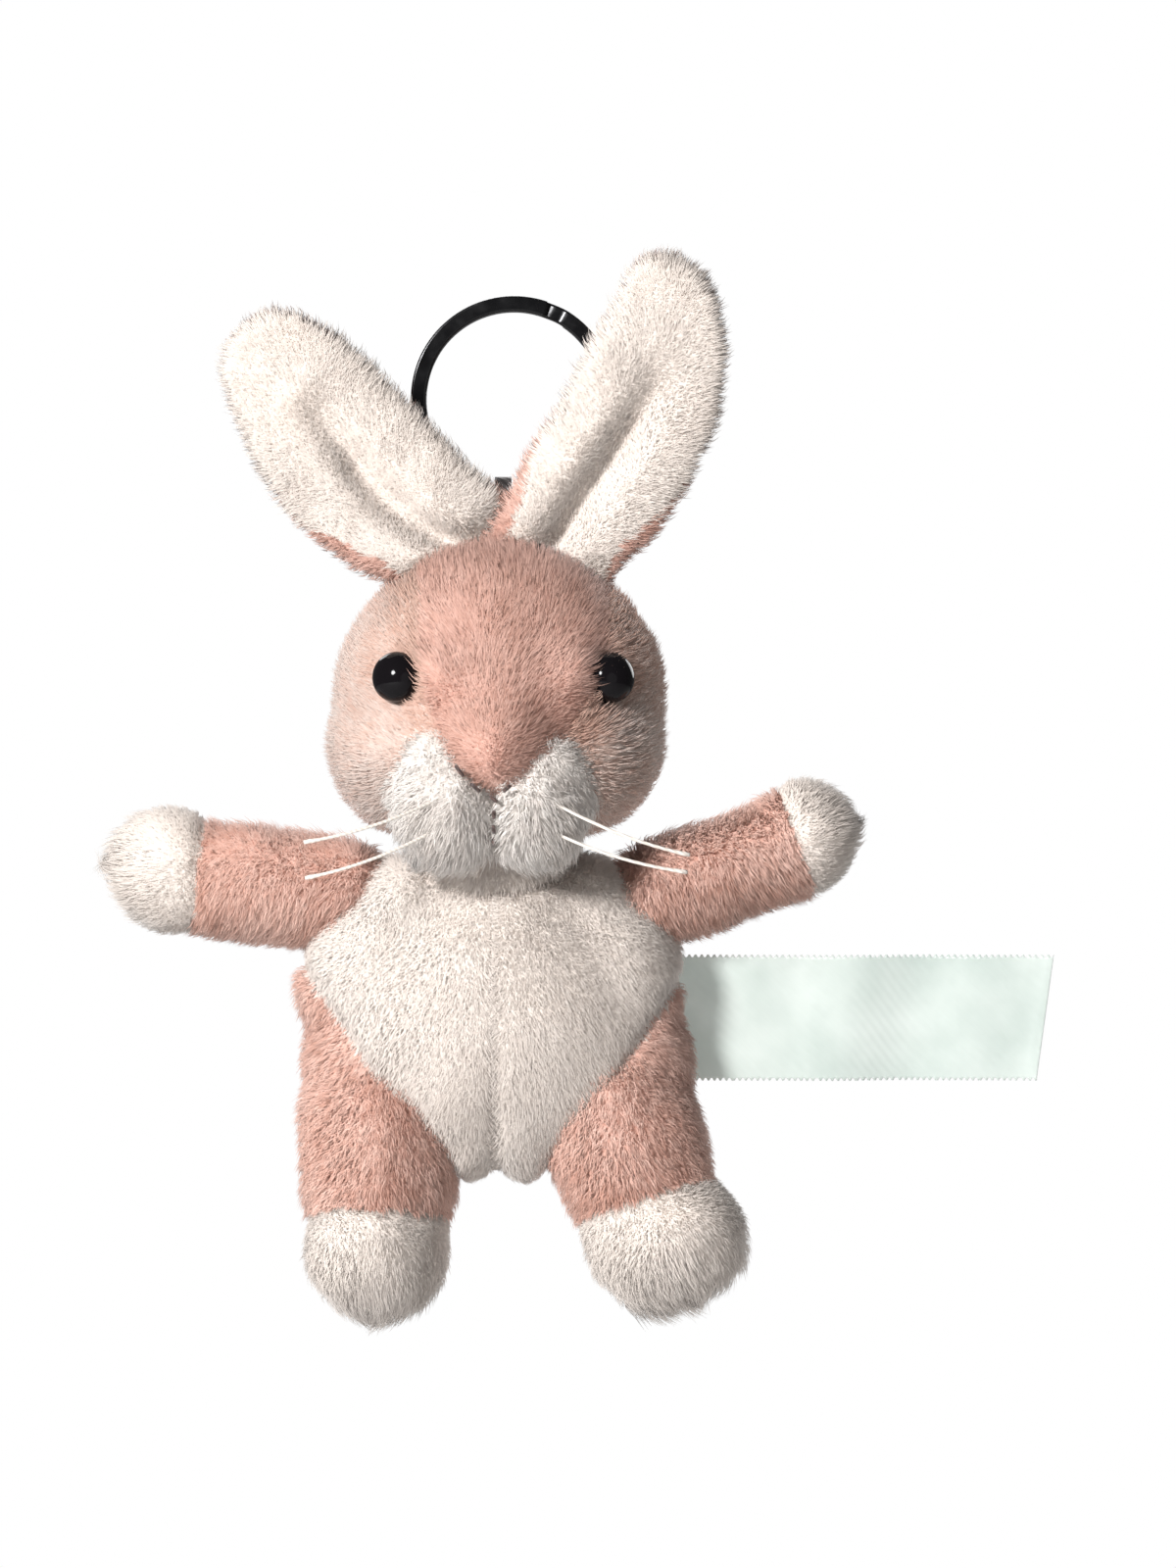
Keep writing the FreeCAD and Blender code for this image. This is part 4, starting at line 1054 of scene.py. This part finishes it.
def make_ribbon():
    """A flat satin ribbon with a looped selvedge on both edges, gently waved, cut at a slant."""
    low, high = box_mm("label_ribbon")
    width = high[2] - low[2]
    slant, thickness = 2.1, 0.22
    picot_height, picot_pitch = 0.16, 0.75
    columns, rows = 260, 40
    u = np.linspace(0, 1, columns)
    v = np.linspace(0, 1, rows)
    u, v = np.meshgrid(u, v, indexing="ij")
    x = low[0] + u * (high[0] - low[0] - slant * v)
    is_edge = (v < 0.001) | (v > 0.999)
    picot = picot_height * np.sign(np.sin(x * 2 * math.pi / picot_pitch)) * is_edge
    z = high[2] - v * width + picot * np.where(v < 0.5, 1, -1)
    along = (x - low[0]) / (high[0] - low[0])
    wave = 0.75 * np.sin(along * 9.5 + 0.6 + 0.5 * v) * np.clip(along * 4, 0, 1)
    wave = wave + 0.35 * np.sin(along * 21 + v * 1.2)
    wave *= np.clip(along * 5, 0.1, 1)
    forward = 0.8 * (1 - np.exp(-along * 14))
    y = (low[1] + high[1]) / 2 + wave - forward
    points = np.stack([x, y, z], -1).reshape(-1, 3)
    index = np.arange(columns * rows).reshape(columns, rows)
    cells = np.stack([index[:-1, :-1], index[:-1, 1:], index[1:, 1:], index[1:, :-1]], -1)
    form = Form(points, cells.reshape(-1, 4))
    shell, shell_faces = thickened(form, thickness)
    ribbon = new_object("label_ribbon_cloth", shell, shell_faces, [satin_material()])
    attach(ribbon, "label")
    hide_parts("label_ribbon")


# ---- camera, light, floor ----

CAMERA_DISTANCE = 600.0  # millimetres in front of the neck
VIEW_HEIGHT = 188.2  # what the picture takes in from top to bottom, in millimetres
SENSOR = 36
FLOOR_RADIUS = 1300.0
FLOOR_BELOW = 280.0  # under the feet, because the keychain hangs
LIT_SPOT = (0.0, 0.0, -0.04)
# Each light's name, its place and the diameter of its disc in metres, and its power in watts.
LIGHTS = (
    ("key", (-0.96, -1.52, 0.60), 0.45, 50.0),
    ("fill", (0.9, -2.0, -0.1), 1.8, 4.5),
    ("rim", (-0.2, 0.6, 0.5), 0.6, 4.0),
    ("side", (0.60, 0.74, 0.25), 0.5, 3.0),
)


def make_camera():
    """Straight at the face from 0.6 m, with a long lens."""
    data = bpy.data.cameras.new("camera")
    camera = bpy.data.objects.new("camera", data)
    bpy.context.scene.collection.objects.link(camera)
    camera.location = (at(10.3, NECK[1] - 3 - CAMERA_DISTANCE, -34.4) * MM).tolist()
    camera.rotation_euler = (math.pi / 2, 0, 0)
    data.sensor_fit = "VERTICAL"
    data.sensor_height = SENSOR
    data.lens = SENSOR * CAMERA_DISTANCE / VIEW_HEIGHT
    bpy.context.scene.camera = camera


def add_area(name, place, size, power):
    data = bpy.data.lights.new(name, "AREA")
    data.shape = "DISK"
    data.size = size
    data.energy = power
    light = bpy.data.objects.new(name, data)
    light.location = place
    way = Vector(LIT_SPOT) - Vector(place)
    light.rotation_euler = way.to_track_quat("-Z", "Y").to_euler()
    bpy.context.scene.collection.objects.link(light)


def make_world():
    """White behind the object, and a softer white as the light from all around."""
    world = bpy.data.worlds.new("studio")
    bpy.context.scene.world = world
    world.use_nodes = True
    nodes, links = world.node_tree.nodes, world.node_tree.links
    around = nodes["Background"]
    set_inputs(around, Color=(1, 1, 1, 1), Strength=0.13)
    seen = nodes.new("ShaderNodeBackground")
    set_inputs(seen, Color=(1, 1, 1, 1))
    path = nodes.new("ShaderNodeLightPath")
    mix = nodes.new("ShaderNodeMixShader")
    links.new(path.outputs["Is Camera Ray"], mix.inputs[0])
    links.new(around.outputs["Background"], mix.inputs[1])
    links.new(seen.outputs["Background"], mix.inputs[2])
    links.new(mix.outputs["Shader"], nodes["World Output"].inputs["Surface"])


def make_stage():
    """A round grey floor well below the feet, the lights and the world."""
    material, _, _, shader = new_material("floor")
    set_inputs(shader, Base_Color=(0.8, 0.8, 0.8, 1), Roughness=0.9)
    sides = 96
    height = box_mm("leg_left_foot")[0][2] - FLOOR_BELOW
    turn = np.linspace(0, 2 * math.pi, sides, endpoint=False)
    rim = np.stack([np.cos(turn) * FLOOR_RADIUS, np.sin(turn) * FLOOR_RADIUS,
                    np.full(sides, height)], 1)
    floor = new_object("floor", rim, np.arange(sides).reshape(1, sides), [material])
    for name, place, size, power in LIGHTS:
        add_area(name, place, size, power)
    make_world()
    bpy.context.scene.view_settings.view_transform = "Standard"


make_camera()
make_stage()
make_head()
make_muzzle()
make_eyes()
make_nose()
make_whiskers()
make_ear("left", 1200)
make_ear("right", 1300)
make_neck()
make_torso()
make_limbs()
make_ribbon()
dress("split_ring", ring_material())
dress("hanging_loop", thread_material("loop_tape", (0.05, 0.045, 0.045), (0.02, 0.018, 0.018), 600))
